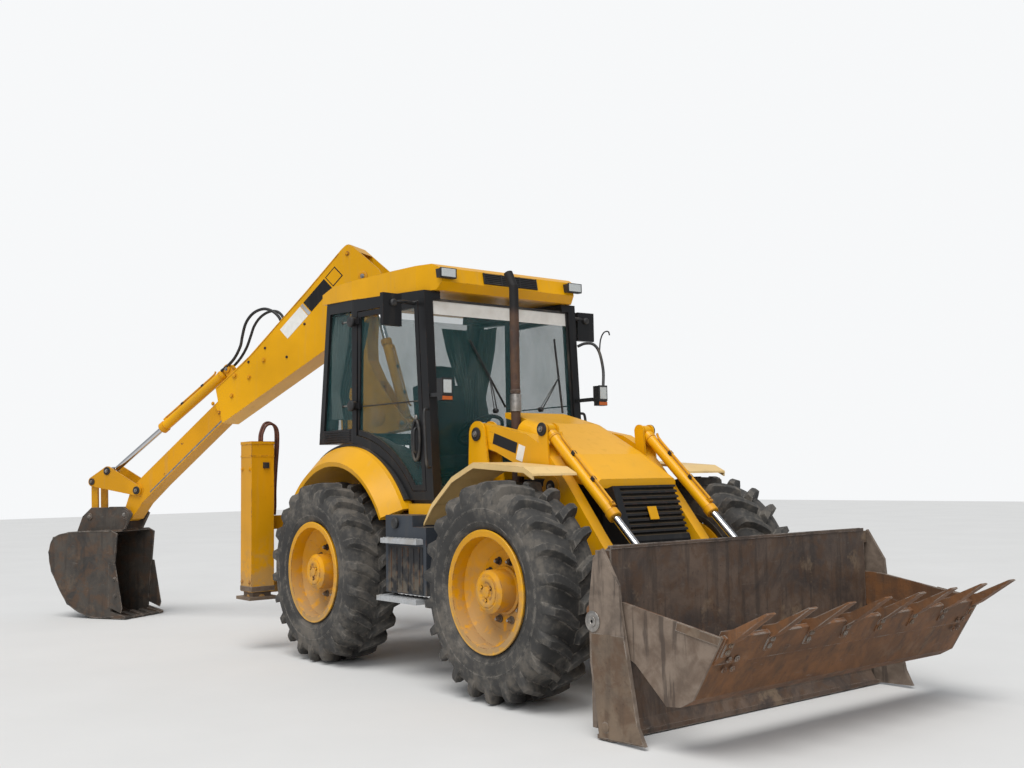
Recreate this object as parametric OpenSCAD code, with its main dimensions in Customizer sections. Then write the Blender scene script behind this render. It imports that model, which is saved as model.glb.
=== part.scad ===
// Backhoe loader on four equal wheels: a front loader with a clamshell bucket, a four-post cab,
// and a side-shifting backhoe with an extending dipper, parked with its bucket on the ground.
// Working frame: x forward from the rear axle, y to the machine's left, z up from the ground.
// The backhoe is drawn in its own plane: s outward from the kingpost, w across, z up.

/* [Machine] */
// Distance between the axles
wheelbase = 2220; // [2120:10:2320]
// Half the distance between the kingpins
kingpin_y = 700; // [690:5:720]
// Height of the axles above the ground, which is the tyre's rolling radius
axle_z = 690; // [685:1:700]
// Radius of an axle beam
beam_r = 85; // [70:5:95]
// Half the gap between the chassis rails
rail_y = 275; // [265:5:285]
// Width of a chassis rail
rail_w = 70; // [50:5:75]
// Height of the underside of the rails
rail_z = 830; // [825:1:850]
// Depth of the rails
rail_h = 180; // [150:10:190]

/* [Wheels] */
// Radius of a tyre out to its lugs
tyre_r = 690; // [680:1:690]
// Width of a tyre at its sidewalls
tyre_w = 440; // [420:5:445]
// Distance from a kingpin to the wheel's centre plane
wheel_offset = 220; // [215:1:230]
// Radius of a rim's bead seat
bead_r = 356; // [350:1:360]
// Radius of a rim's flange
flange_r = 381; // [372:1:388]
// Width of a rim over its flanges
rim_w = 406; // [390:2:410]
// Radius of a wheel hub
hub_r = 135; // [115:5:150]

/* [Cab] */
// Half width of the cab at its doors
cab_half = 810; // [790:5:812]
// Half width of the cab at its front posts
cab_front_half = 735; // [700:5:750]
// Height of the cab's sill
sill_z = 1240; // [1225:5:1260]
// Height of the top of the cab's posts
cab_top = 2790; // [2700:10:2850]
// Thickness of the cab's posts
post = 62; // [50:2:75]
// Thickness of the glass
glass = 6; // [5:1:8]
// Radius of the arch over a rear wheel, at the door
arch_r = 1000; // [995:1:1010]

/* [Bonnet] */
// Height of the bonnet at its rear
bonnet_top = 1870; // [1830:5:1900]
// Half width of the bonnet
bonnet_half = 376; // [350:2:378]
// Thickness of the bonnet's skin
skin = 12; // [8:1:16]

/* [Loader] */
// Distance of a loader arm's centre from the middle
arm_y = 455; // [450:1:457]
// Width of a loader arm
arm_w = 90; // [80:2:92]
// Half width of the loader bucket
bucket_half = 1220; // [1150:10:1240]
// Thickness of the loader bucket's plates
plate = 20; // [14:1:22]
// Radius of a loader pin
pin_r = 30; // [24:1:34]
// Number of teeth on the clam's lip
clam_teeth = 8; // [6:1:9]

/* [Backhoe] */
// Half the width of the boom
boom_half = 112; // [90:2:114]
// Half the width of the outer dipper
dipper_half = 142; // [138:1:150]
// Half the width of the inner dipper
inner_half = 92; // [80:2:100]
// Half the width of the digging bucket
hoe_half = 300; // [220:10:310]
// Number of teeth on the digging bucket
hoe_teeth = 5; // [3:1:6]
// Outer size of a stabiliser's housing
leg_size = 205; // [180:5:210]
// Clearance of parts that slide or turn on each other
fit = 0.3; // [0.2:0.05:0.5]

/* [Hidden] */
$fn = 64;

// Middle of the machine's footprint, which the part's origin sits under
mid = [-252, -253];

// Loader pins in the x-z plane
arm_pin = [1360, 1710];
lever_pin = [2080, 1715];
lift_base = [1300, 960];
lift_eye = [2150, 1330];
bucket_pin = [3220, 380];
tilt_eye = [3185, 700];
clam_pin = [3320, 620];
clam_ram_base = [3265, 215];
clam_ram_eye = [3190, 655];
clam_ram_y = 1075;
clam_ram_r = 32;

// Kingpost axis and the way the backhoe points at rest
kingpost_x = -1425;
shift = 450;
swing = 30;

// Backhoe pins in its own s-z plane
boom_foot = [300, 750];
boom_head = [210, 3010];
boom_ram_base = [40, 1060];
boom_ram_eye = [20, 1980];
dipper_ram_base = [-240, 1930];
// The dipper's own plane: u along the slide, v square to it, from the boom's head pin
slide_angle = -38.5;
tail_pin = [-263, 251];
nose_pin = [3399, 225];
rocker_pin = [3149, 346];
rocker_ram_pin = [3324, 753];
rocker_link_pin = [3549, 791];
hitch_link_pin = [3771, 496];
bucket_ram_base = [1538, 640];

front_x = wheelbase;

function angle_to(p, q) = atan2(q[1] - p[1], q[0] - p[0]);
function span(p, q) = norm(q - p);
function turn(a, p) = [cos(a) * p[0] - sin(a) * p[1], sin(a) * p[0] + cos(a) * p[1]];
function arc(c, r, a0, a1, n) =
    [for (i = [0 : n]) c + r * [cos(a0 + (a1 - a0) * i / n), sin(a0 + (a1 - a0) * i / n)]];
function uv(p) = boom_head + turn(slide_angle, p);

module place() translate([-mid[0], -mid[1], 0]) children();
module both() { children(); mirror([0, 1, 0]) children(); }
// A plate drawn in the x-z plane, t thick, centred on y
module slab(y, t) translate([0, y + t / 2, 0]) rotate([90, 0, 0]) linear_extrude(t) children();
// A round bar across the machine from y0 to y1
module bar(p, r, y0, y1) translate([p[0], y1, p[1]]) rotate([90, 0, 0]) cylinder(r = r, h = y1 - y0);
module box(x0, x1, y0, y1, z0, z1) translate([x0, y0, z0]) cube([x1 - x0, y1 - y0, z1 - z0]);
module rounded(pts, r) hull() for (p = pts) translate(p) circle(r = r, $fn = 32);

// The backhoe's plane, placed on the machine
module arm_plane() place() translate([kingpost_x, shift, 0]) rotate([0, 0, 180 + swing]) children();
// The dipper's own axes within that plane
module dipper_axes() translate([boom_head[0], 0, boom_head[1]]) rotate([0, -slide_angle, 0]) children();

// A ram's barrel from its base pin p towards its rod's eye q
module ram_barrel(p, q, y, r, len, rod_r, eye_w) {
    translate([p[0], y, p[1]]) rotate([0, -angle_to(p, q), 0]) difference() {
        union() {
            rotate([90, 0, 0]) cylinder(r = r, h = eye_w, center = true);
            rotate([0, 90, 0]) cylinder(r = min(r * 0.8, eye_w / 2 - 2), h = r * 2);
            translate([r * 1.2, 0, 0]) rotate([0, 90, 0]) cylinder(r = r, h = len - r * 1.2);
        }
        translate([r * 2, 0, 0]) rotate([0, 90, 0]) cylinder(r = rod_r + fit, h = len);
        rotate([90, 0, 0]) cylinder(r = min(pin_r, r - 8) + fit, h = eye_w + 2, center = true);
    }
}
// A ram's rod, len long back from its eye q
module ram_rod(p, q, y, len, rod_r, eye_r, eye_w) {
    translate([q[0], y, q[1]]) rotate([0, 180 - angle_to(p, q), 0]) difference() {
        union() {
            rotate([90, 0, 0]) cylinder(r = eye_r, h = eye_w, center = true);
            rotate([0, 90, 0]) cylinder(r = rod_r, h = len);
        }
        rotate([90, 0, 0]) cylinder(r = pin_r * 0.8, h = eye_w + 2, center = true);
    }
}

// Chassis
rail_top = rail_z + rail_h;
nose_x = 2640;
// Towing pin: place and radius of its bore
tow_x = 2720;
tow_r = 18;
module chassis_frame() color("#2b2b2b") place() {
    both() slab(rail_y + rail_w / 2, rail_w) polygon([[-960, rail_z], [-960, rail_top], [2360, rail_top],
        [2420, 955], [nose_x, 955], [nose_x, rail_z]]);
    // Cross members between the rails: x, width
    for (m = [[-960, 60], [560, 60], [nose_x - 80, 80]])
        box(m[0], m[0] + m[1], -rail_y, rail_y, rail_z + 10, 950);
    // Outriggers that carry the cab and the step boxes
    both() box(1010, 1080, rail_y + rail_w - 1, 600, rail_top - 90, rail_top - fit);
    box(-420, -350, -rail_y - rail_w, rail_y + rail_w, rail_top - 1, 1100 - fit);
    // Nose plate under the grille, with the towing eye
    box(nose_x - 1, nose_x + 30, -350, 350, 640, 955);
    difference() {
        for (z = [690, 760]) box(nose_x + 29, nose_x + 120, -55, 55, z, z + 26);
        translate([tow_x, 0, 600]) cylinder(r = tow_r, h = 300);
    }
}

module rear_frame() color("#e0a312") place() {
    for (z = [450, 985]) box(-1120, -1044, -1100, 1100, z, z + 115);
    both() {
        box(-1120, -1044, 330, 400, 564, 986);
        leg_housing();
    }
    box(-1046, -960 - fit, -380, 380, rail_z, 1060);
}
leg_y = 1120;
leg_x = -955;
leg_top = 1730;
leg_bottom = 480;
module leg_housing() {
    difference() {
        box(leg_x - leg_size / 2, leg_x + leg_size / 2, leg_y - leg_size / 2, leg_y + leg_size / 2,
            leg_bottom, leg_top);
        box(leg_x - leg_size / 2 + leg_wall, leg_x + leg_size / 2 - leg_wall,
            leg_y - leg_size / 2 + leg_wall, leg_y + leg_size / 2 - leg_wall, leg_bottom - 1, leg_top - leg_wall);
    }
}
leg_gap = 5;
leg_wall = 14;
module leg(side) color("#c98f10") place() translate([leg_x, side * leg_y, 0]) {
    w = leg_size - 2 * leg_wall - 2 * leg_gap;
    pad = leg_size - 2 * leg_wall - 2 * fit;
    translate([-w / 2, -w / 2, leg_bottom - 40]) cube([w, w, 1150]);
    // Wear pads that guide the leg in its housing
    translate([-pad / 2, -pad / 2, leg_bottom + 990]) cube([pad, pad, 120]);
    translate([-130, -130, leg_bottom - 65]) cube([260, 260, 26]);
}

module drivetrain() color("#3a3a3a") place() {
    box(1330, front_x - 200, fit - rail_y, rail_y - fit, 700, 1380);
    box(640, 1180, -200, 200, 640, 985);
    translate([1180, 0, 820]) rotate([0, 90, 0]) cylinder(r = 170, h = 150);
    // Propeller shafts: start, end
    for (s = [[190 + fit, 640], [1180, front_x - 190 - fit]])
        translate([s[0], 0, axle_z]) rotate([0, 90, 0]) cylinder(r = 38, h = s[1] - s[0]);
}

boss_r = 58;
boss_h = 110;
module axles() color("#b98516") place() for (x = [0, front_x]) translate([x, 0, axle_z]) {
    rotate([90, 0, 0]) cylinder(r = beam_r, h = 2 * kingpin_y - 40, center = true);
    sphere(r = 190);
    for (s = [-1, 1]) {
        translate([0, s * kingpin_y, 0]) cylinder(r = boss_r, h = 2 * boss_h, center = true);
        translate([-90, s * (rail_y + rail_w / 2) - rail_w / 2, 0])
            cube([180, rail_w, rail_z - axle_z - fit]);
    }
}

drum_y = 78;
disc_in = wheel_offset + 14;
// A steering knuckle on the right side, drawn from its kingpin
module knuckle_shape() {
    for (z = [boss_h + fit, -boss_h - fit - 34]) translate([0, 0, z]) {
        cylinder(r = boss_r, h = 34);
        translate([-boss_r, -drum_y - 24, 0]) cube([2 * boss_r, drum_y + 24, 34]);
    }
    rotate([90, 0, 0]) {
        translate([0, 0, drum_y]) cylinder(r = 150, h = 24);
        translate([0, 0, drum_y]) cylinder(r = 120, h = disc_in - fit - drum_y);
    }
}
module knuckle(x, side) color("#b98516") place() translate([x, side * kingpin_y, axle_z])
    mirror([0, side > 0 ? 1 : 0, 0]) knuckle_shape();
module knuckle_fr() knuckle(front_x, -1);
module knuckle_fl() knuckle(front_x, 1);
module knuckle_rr() knuckle(0, -1);
module knuckle_rl() knuckle(0, 1);

// A wheel drawn about its own axle, with y outboard from the wheel's centre plane
module about_wheel(x, side) place() translate([x, side * (kingpin_y + wheel_offset), axle_z])
    rotate([side > 0 ? -90 : 90, 0, 0]) children();
bead_y = tyre_w * 0.41;
carcass_r = tyre_r - 46;
lug_count = 22;
// A lug's footprint: distance from the middle plane, way round the tyre that it leads, half its length round
lug_rows = [[14, 46, 27], [70, 14, 38], [128, -32, 40], [tyre_w * 0.45, -46, 36]];
module tyre_shape(side) {
    rotate_extrude($fn = 96) polygon([
        [bead_r + fit, fit - bead_y], [flange_r + 6, -bead_y - 4.6], [flange_r + 40, -tyre_w * 0.47],
        [tyre_r - 190, -tyre_w / 2], [tyre_r - 110, -tyre_w * 0.485], [tyre_r - 62, -tyre_w * 0.41],
        [carcass_r, -tyre_w * 0.22], [carcass_r, tyre_w * 0.22], [tyre_r - 62, tyre_w * 0.41],
        [tyre_r - 110, tyre_w * 0.485], [tyre_r - 190, tyre_w / 2], [flange_r + 40, tyre_w * 0.47],
        [flange_r + 6, bead_y + 4.6], [bead_r + fit, bead_y - fit],
        [bead_r + fit, tyre_w * 0.32], [bead_r + 60, tyre_w * 0.38], [tyre_r - 190, tyre_w * 0.44],
        [carcass_r - 50, tyre_w * 0.38], [carcass_r - 36, 0], [carcass_r - 50, -tyre_w * 0.38],
        [tyre_r - 190, -tyre_w * 0.44], [bead_r + 60, -tyre_w * 0.38], [bead_r + fit, -tyre_w * 0.32]]);
    // Lugs lead towards the middle plane, and the two halves are half a pitch apart
    for (half = [-1, 1]) for (i = [0 : lug_count - 1])
        rotate([0, 0, (i + half / 4 + 1 / 4) * 360 / lug_count]) translate([carcass_r - 60, 0, 0]) rotate([0, 90, 0])
            linear_extrude(tyre_r - 5 - carcass_r + 60) polygon(concat(
                [for (r = lug_rows) [-half * r[0], side * r[1] + r[2]]],
                [for (k = [len(lug_rows) - 1 : -1 : 0]) [-half * lug_rows[k][0], side * lug_rows[k][1] - lug_rows[k][2]]]));
}
module tyre(x, side) color("#3c3b39") about_wheel(x, side) tyre_shape(side);
module tyre_fr() tyre(front_x, -1);
module tyre_fl() tyre(front_x, 1);
module tyre_rr() tyre(0, -1);
module tyre_rl() tyre(0, 1);

disc_t = 18;
module rim_shape() {
    seat = bead_y;
    rotate_extrude($fn = 96) polygon([
        [0, 14], [250, 14], [bead_r - 40, 60], [bead_r - 40, 50 - seat], [bead_r - 14, 20 - seat],
        [bead_r - 14, -rim_w / 2], [flange_r, -rim_w / 2], [flange_r, -seat - 4], [bead_r, -seat],
        [bead_r, 30 - seat], [bead_r - 28, 60 - seat], [bead_r - 28, 70], [bead_r, 100],
        [bead_r, seat], [flange_r, seat + 4], [flange_r, rim_w / 2], [bead_r - 14, rim_w / 2],
        [bead_r - 14, 106], [bead_r - 40, 78], [250, 14 + disc_t], [hub_r + 6, 14 + disc_t],
        [hub_r, 40], [hub_r, 165], [hub_r - 25, 185], [0, 185]]);
    for (i = [0 : 9]) rotate([0, 0, i * 36]) translate([hub_r + 55, 0, 20]) cylinder(r = 14, h = 34);
}
module rim(x, side) color("#e3a51a") about_wheel(x, side) rim_shape();
module rim_fr() rim(front_x, -1);
module rim_fl() rim(front_x, 1);
module rim_rr() rim(0, -1);
module rim_rl() rim(0, 1);

// Loader towers: an inner and an outer plate on each side of an arm
tower_gap = 8;
tower_t = 14;
module loader_towers() color("#d99a12") place() {
    both() {
        for (y = [arm_y - arm_w / 2 - tower_gap - tower_t / 2, arm_y + arm_w / 2 + tower_gap + tower_t / 2])
            slab(y, tower_t) hull() {
                translate(arm_pin) circle(r = 95, $fn = 32);
                translate([1235, 850]) circle(r = 12, $fn = 32);
                translate([1535, 850]) circle(r = 12, $fn = 32);
                translate([1500, 1240]) circle(r = 30, $fn = 32);
            }
        // Foot of the tower on the rail, and its pins
        box(1222, 1548, rail_y + rail_w + fit, arm_y + arm_w / 2 + tower_gap + tower_t, 835, 890);
        for (p = [arm_pin, lift_base]) bar(p, pin_r, 390, 525);
    }
    box(1222, 1262, -390, 390, 1250, 1500);
}

module grille() color("#1c1c1c") place() difference() {
    slab(0, 590) polygon([[2422, 955 + fit], [2422, 1250], [2440, bonnet_lip - fit], [2470, bonnet_lip - fit],
        [2520, 1330], [2650, 975], [2650, 955 + fit]]);
    // Slots between the bars: each is cut square to the leaning face
    for (i = [0 : 8]) translate([2640 - i * 13.4, 0, 1005 + i * 36]) rotate([0, -70, 0])
        translate([0, 0, -30]) cube([18, 470, 60], center = false);
    for (i = [0 : 8]) translate([2640 - i * 13.4, 0, 1005 + i * 36]) mirror([0, 1, 0])
        rotate([0, -70, 0]) translate([0, 0, -30]) cube([18, 235, 60], center = false);
}

stack = [1575, -330];
stack_r = 34;
module exhaust() color("#5b3a26") place() {
    translate([stack[0], stack[1], 1340]) cylinder(r = stack_r, h = 1440);
    translate([stack[0], stack[1], 2765]) rotate([0, -28, 0]) cylinder(r = stack_r - 1, h = 130);
    translate([stack[0], stack[1], 1400]) rotate([-90, 0, 0])
        cylinder(r = stack_r - 4, h = -stack[1] - bonnet_half + 90);
    translate([stack[0], stack[1], 1360]) rotate([-90, 0, 0])
        cylinder(r = stack_r - 8, h = -stack[1] - rail_y);
}

fender_t = 14;
fender_lip = 38;
fender_line = [[1225, 1085], [1330, 1225], [1570, 1405], [1820, 1500], [2350, 1462], [2440, 1418]];
module front_fenders() color("#d8c9a0") place() both() {
    slab(715, 370) polygon(concat(fender_line,
        [for (i = [len(fender_line) - 1 : -1 : 0]) fender_line[i] - [-4, fender_t]]));
    slab(893, 14) polygon(concat(fender_line,
        [for (i = [len(fender_line) - 1 : -1 : 0]) fender_line[i] - [0, i == 0 ? fender_t + 6 : fender_lip]]));
    bar([1340, 1205], 20, arm_y + arm_w / 2 + tower_gap + tower_t + fit, 620);
}

step_top = 1140;
module rear_fenders() color("#e6a91a") place() both() {
    rear_fender();
    // Sill below the door, on the step box
    box(880, 1212, 605, cab_half - 12, step_top + fit, sill_z - 25 - fit);
}
module rear_fender() translate([0, 0, axle_z]) rotate([90, 0, 0])
    rotate([0, 0, 30]) rotate_extrude(angle = 107, $fn = 96) polygon([
        [815, 430], [815, 945], [850, 952], [968, cab_half + 15], [arch_r - 24 - fit, cab_half - 25],
        [arch_r - 24 - fit, cab_half - 80], [962, cab_half - 80], [950, cab_half - 10], [840, cab_half + 15], [840, 430]]);

module step_boxes() color("#2a2d33") place() both() {
    slab(792.5 + fit / 2, 385 - fit) polygon([[860, 590], [1380, 590], [1380, 1060], [1212, 1060], [1212, step_top],
        [860, step_top]]);
    box(880, 1340, 900, 1040, 945, 975);
    box(785, 1300, 860, 1020, 530, 560);
    box(800, 840, 880, 900, 560, 700);
    box(800, 862, 880, 900, 680, 700);
}

// Cab outline in the x-z plane, set in by t, and its plan
arch = [0, axle_z];
// Angle on a circle of radius r about a rear wheel at which it is as high as z
function arch_angle(r, z) = asin((z - axle_z) / r);
function cab_side(t) = concat([[1120 - t, sill_z + t], [1030 - t, cab_top - t], [-330 + t, cab_top + 60 - t],
    [-480 + t, 1690 + t]], arc(arch, arch_r + t, 88, arch_angle(arch_r + t, sill_z + t), 10));
function cab_plan(t) = [[1150, cab_front_half - t], [100, cab_half - t], [-500, cab_half - 20 - t],
    [-500, 20 - cab_half + t], [100, t - cab_half], [1150, t - cab_front_half]];
module cab_solid(t) intersection() {
    slab(0, 2000) polygon(cab_side(t));
    linear_extrude(4000) polygon(cab_plan(t));
}
door_line = concat([[170, cab_top - 60], [955, cab_top - 68], [1035, sill_z + 64]],
    arc(arch, arch_r + 64, arch_angle(arch_r + 64, sill_z + 64), 82, 10));
function quarter_line(t) = [[-275 + t, cab_top - 30 - t], [90 - t, cab_top - 50 - t], [90 - t, 1800 + t],
    [-395 + 1.4 * t, 1800 + t]];
rear_half = 650;
// Forward edge of the cab's front and of its back at a height
function front_at(z) = 1120 - 90 * (z - sill_z) / (cab_top - sill_z);
function back_at(z) = -480 + 150 * (z - 1690) / (cab_top + 60 - 1690);
windscreen_half = cab_front_half - 65;
louvre_count = 5;
module cab_frame() color("#17181a") place() {
    cab_shell();
    // Louvres below the quarter windows
    both() for (k = [0 : louvre_count - 1]) box(-370, 60, cab_half - 32, cab_half + 6, 1704 + k * 19, 1714 + k * 19);
    // Covers over the door hinges
    for (side = [-1, 1]) skin_plane(side) for (z = hinge_z) slab(14, 30) translate([130, z]) circle(r = 37);
}
module cab_shell() difference() {
    cab_solid(0);
    cab_solid(post);
    slab(0, 2000) polygon(door_line);
    slab(0, 2000) polygon(quarter_line(0));
    box(900, 1200, -windscreen_half, windscreen_half, sill_z + 60, cab_top - 60);
    box(-600, -200, -rear_half, rear_half, 1790, cab_top - 10);
    box(-600, 1200, -600, 600, cab_top - 90, cab_top + 90);
    box(-380, 1030, -600, 600, 1200, 1800);
}

module cab_glass() color("#9fc3bd") place() {
    zb = sill_z + 60 + fit;
    zt = cab_top - 60 - fit;
    // Windscreen, leaning with the front posts
    slab(0, 2 * (windscreen_half - fit)) polygon([[front_at(zb) - 36, zb], [front_at(zb) - 36 + glass, zb],
        [front_at(zt) - 36 + glass, zt], [front_at(zt) - 36, zt]]);
    // Rear window
    rb = 1790 + fit;
    rt = cab_top - 10 - fit;
    slab(0, 2 * (rear_half - fit)) polygon([[back_at(rb) + 30, rb], [back_at(rb) + 30 + glass, rb],
        [back_at(rt) + 30 + glass, rt], [back_at(rt) + 30, rt]]);
    both() slab(cab_half - 38, glass) polygon(quarter_line(fit));
}

module cab_floor() color("#232425") place() {
    box(-470, 1100, -420, 420, 1100, 1125);
    both() slab(410, 20) polygon(concat([[1100, 1100], [1100, sill_z - 5]], [[835, sill_z - 5]],
        arc(arch, arch_r - 20, 34, 118, 12), [[-470, 1100]]));
    both() translate([0, 0, axle_z]) rotate([90, 0, 0]) rotate([0, 0, 34])
        rotate_extrude(angle = 84, $fn = 96) polygon([[arch_r - 24, 410], [arch_r - 24, cab_half - 15],
            [arch_r - 4, cab_half - 15], [arch_r - 4, 410]]);
    both() box(830, 1100, 410, 720, sill_z - 25, sill_z - fit);
    // Front console
    box(930, 1028, -220, 220, 1125, 1700);
}

module seat() color("#222222") place() {
    box(200, 620, -150, 150, 1125 + fit, 1450);
    translate([150, -250, 1450]) cube([520, 500, 130]);
    translate([190, 0, 1560]) rotate([0, -8, 0]) translate([-110, -240, 0]) cube([120, 480, 620]);
}

module controls() color("#191919") place() {
    box(870, 930 - fit, -45, 45, 1430, 1560);
    // Levers of the backhoe, behind the seat
    box(-330, -200, -180, 180, 1125 + fit, 1480);
    for (y = [-90, -30, 30, 90]) translate([-265, y, 1470]) {
        cylinder(r = 8, h = 250);
        translate([0, 0, 250]) sphere(r = 20);
    }
    translate([900, 0, 1500]) rotate([0, -35, 0]) {
        cylinder(r = 22, h = 330);
        translate([0, 0, 330]) rotate_extrude() translate([185, 0]) circle(r = 15);
        for (a = [0 : 120 : 240]) rotate([0, 0, a]) translate([0, 0, 330]) rotate([0, 90, 0])
            cylinder(r = 11, h = 185);
    }
}

// Roof outline: x, height above the posts' top; the first two and the last lie on the frame
roof_line = [[1030, fit], [1075, fit], [1130, 60], [1110, 165], [1040, 200], [600, 200], [-200, 190],
    [-400, 140], [-450, 70], [-330, 60 + fit]];
module cab_roof() color("#e2c274") place() {
    intersection() {
        slab(0, 2000) polygon([for (p = roof_line) [p[0], cab_top + p[1]]]);
        linear_extrude(4000) polygon([[1150, 640], [900, 730], [100, cab_half + 5], [-380, cab_half],
            [-460, 700], [-460, -700], [-380, -cab_half], [100, -cab_half - 5], [900, -730], [1150, -640]]);
    }
}

module lamps() color("#dddddd") place() both() {
    // Tail lamp below the rear window
    slab(730, 84) polygon([[back_at(1705) - fit, 1705], [back_at(1783) - fit, 1783], [-506, 1783], [-506, 1705]]);
    // Headlamp on its arm from the front post
    box(1262, 1330, 715, 800, 1985, 2110);
    box(front_at(1990) + fit, 1263, 700, 730, 1990, 2018);
    // Working lamp in the roof's visor
    slab(622, 150) polygon([[1130 - 20 * 20 / 105 + fit, cab_top + 80], [1172, cab_top + 80], [1172, cab_top + 146],
        [1130 - 20 * 86 / 105 + fit, cab_top + 146]]);
}

// Doors: hinged at their rear edge
door_gap = 6;
door_t = 34;
function door_outline(t) = concat([[176 + t, cab_top - 68 - t], [948 - t, cab_top - 76 - t],
    [1027 - t, sill_z + 70 + t]],
    arc(arch, arch_r + 70 + t, arch_angle(arch_r + 70 + t, sill_z + 70 + t), 80.5, 10));
door_lean = atan((cab_half - cab_front_half) / 1050);
module skin_plane(side) mirror([0, side > 0 ? 0 : 1, 0]) translate([100, cab_half, 0])
    rotate([0, 0, -door_lean]) translate([-100, 0, 0]) children();
module door_plane(side) place() skin_plane(side) children();
hinge_z = [1980, 2650];
module door(side) color("#17181a") door_plane(side) {
    difference() {
        slab(-door_t / 2 - 2, door_t) polygon(door_outline(0));
        slab(-door_t / 2 - 2, door_t + 2) polygon(door_outline(42));
    }
    // Handle moulding
    slab(-5, 20) rounded([[930, 1560], [930, 1800]], 38);
    // Hinge leaves, which reach over the post to their covers
    for (z = hinge_z) {
        box(167 + fit, 212, fit, 14, z - 22, z + 22);
        box(180, 212, -6, 2, z - 22, z + 22);
    }
    // Mirror on its arm from the door's top rail
    box(900, 916, -20, 125, cab_top - 100, cab_top - 85);
    box(880, 916, 120, 290, cab_top - 270, cab_top - 30);
}
module door_pane(side) color("#8fb5b0") door_plane(side)
    slab(-door_t / 2 - 2, glass) polygon(door_outline(42 + fit));
module door_right() door(-1);
module door_left() door(1);
module door_right_glass() door_pane(-1);
module door_left_glass() door_pane(1);

// Bonnet: a shell lofted between a rear and a front section
bonnet_rear = 1385;
bonnet_front = 2462;
bonnet_lip = 1315;
module bonnet_hull(t) hull() {
    // Sections: x, half width, underside height, top height, shoulder radius
    for (s = [[bonnet_rear, bonnet_half, 1420, bonnet_top, 110], [1750, bonnet_half, 1400, 1775, 110],
              [2200, bonnet_half - 6, 1370, 1545, 90], [bonnet_front - 20, 360, bonnet_lip, bonnet_lip + 60, 30]])
        for (w = [-1, 1]) {
            translate([s[0], w * (s[1] - s[4]), s[3] - s[4] - t]) rotate([0, 90, 0])
                cylinder(r = s[4] - t, h = 20, $fn = 32);
            translate([s[0], w * (s[1] - 10) - 10, s[2] - t]) cube([20, 20, 10]);
        }
}
module bonnet() color("#e6a91a") place() difference() {
    bonnet_hull(0);
    translate([-skin, 0, -skin - 4]) bonnet_hull(skin);
    box(1300, 1640, -460, -280, 1300, 1900);
}

// Loader arms: profile in the x-z plane
arm_line = concat(arc(arm_pin, 82, 80, 250, 8), [[1560, 1575], [1900, 1440], [2040, 1400], [2105, 1375],
    [2105, 1265], [2200, 1240], [2440, 860], [2760, 520], [3030, 310]], arc(bucket_pin, 78, 220, 400, 8),
    [[3150, 500], [3000, 500], [2820, 745], [2600, 1000], [2300, 1362], [2170, 1500], [2060, 1610],
    [1900, 1690]]);
ear_y = 50;
module loader_arms() color("#e3a519") place() {
    both() {
        difference() {
            slab(arm_y, arm_w) polygon(arm_line);
            bar(arm_pin, pin_r + fit, arm_y - 60, arm_y + 60);
            bar(bucket_pin, pin_r + fit, arm_y - 60, arm_y + 60);
            // Slot for the lift ram's eye
            slab(arm_y, 56) hull() {
                translate(lift_eye) circle(r = 130, $fn = 32);
                translate(lift_eye + [-330, 110]) circle(r = 60, $fn = 32);
            }
        }
        // Upright ears that carry the tilt ram
        for (y = [arm_y - ear_y, arm_y + ear_y]) slab(y, 14) rounded([lever_pin, [2100, 1480]], 45);
        bar(lever_pin, pin_r, arm_y - ear_y - 7, arm_y + ear_y + 7);
    }
    // Torque tube between the arms
    bar([2870, 555], 62, -arm_y + arm_w / 2 - 5, arm_y - arm_w / 2 + 5);
}
lift_len = 860;
module lift_barrels() color("#e3a519") place() both() ram_barrel(lift_base, lift_eye, arm_y, 42, lift_len, 25, 50);
module lift_rods() color("#c9ced2") place() both() ram_rod(lift_base, lift_eye, arm_y, 830, 25, 40, 46);
tilt_len = 860;
module tilt_barrels() color("#e3a519") place() both() ram_barrel(lever_pin, tilt_eye, arm_y, 38, tilt_len, 25, 54);
module tilt_rods() color("#c9ced2") place() both() ram_rod(lever_pin, tilt_eye, arm_y, 1240, 25, 40, 46);

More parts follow.
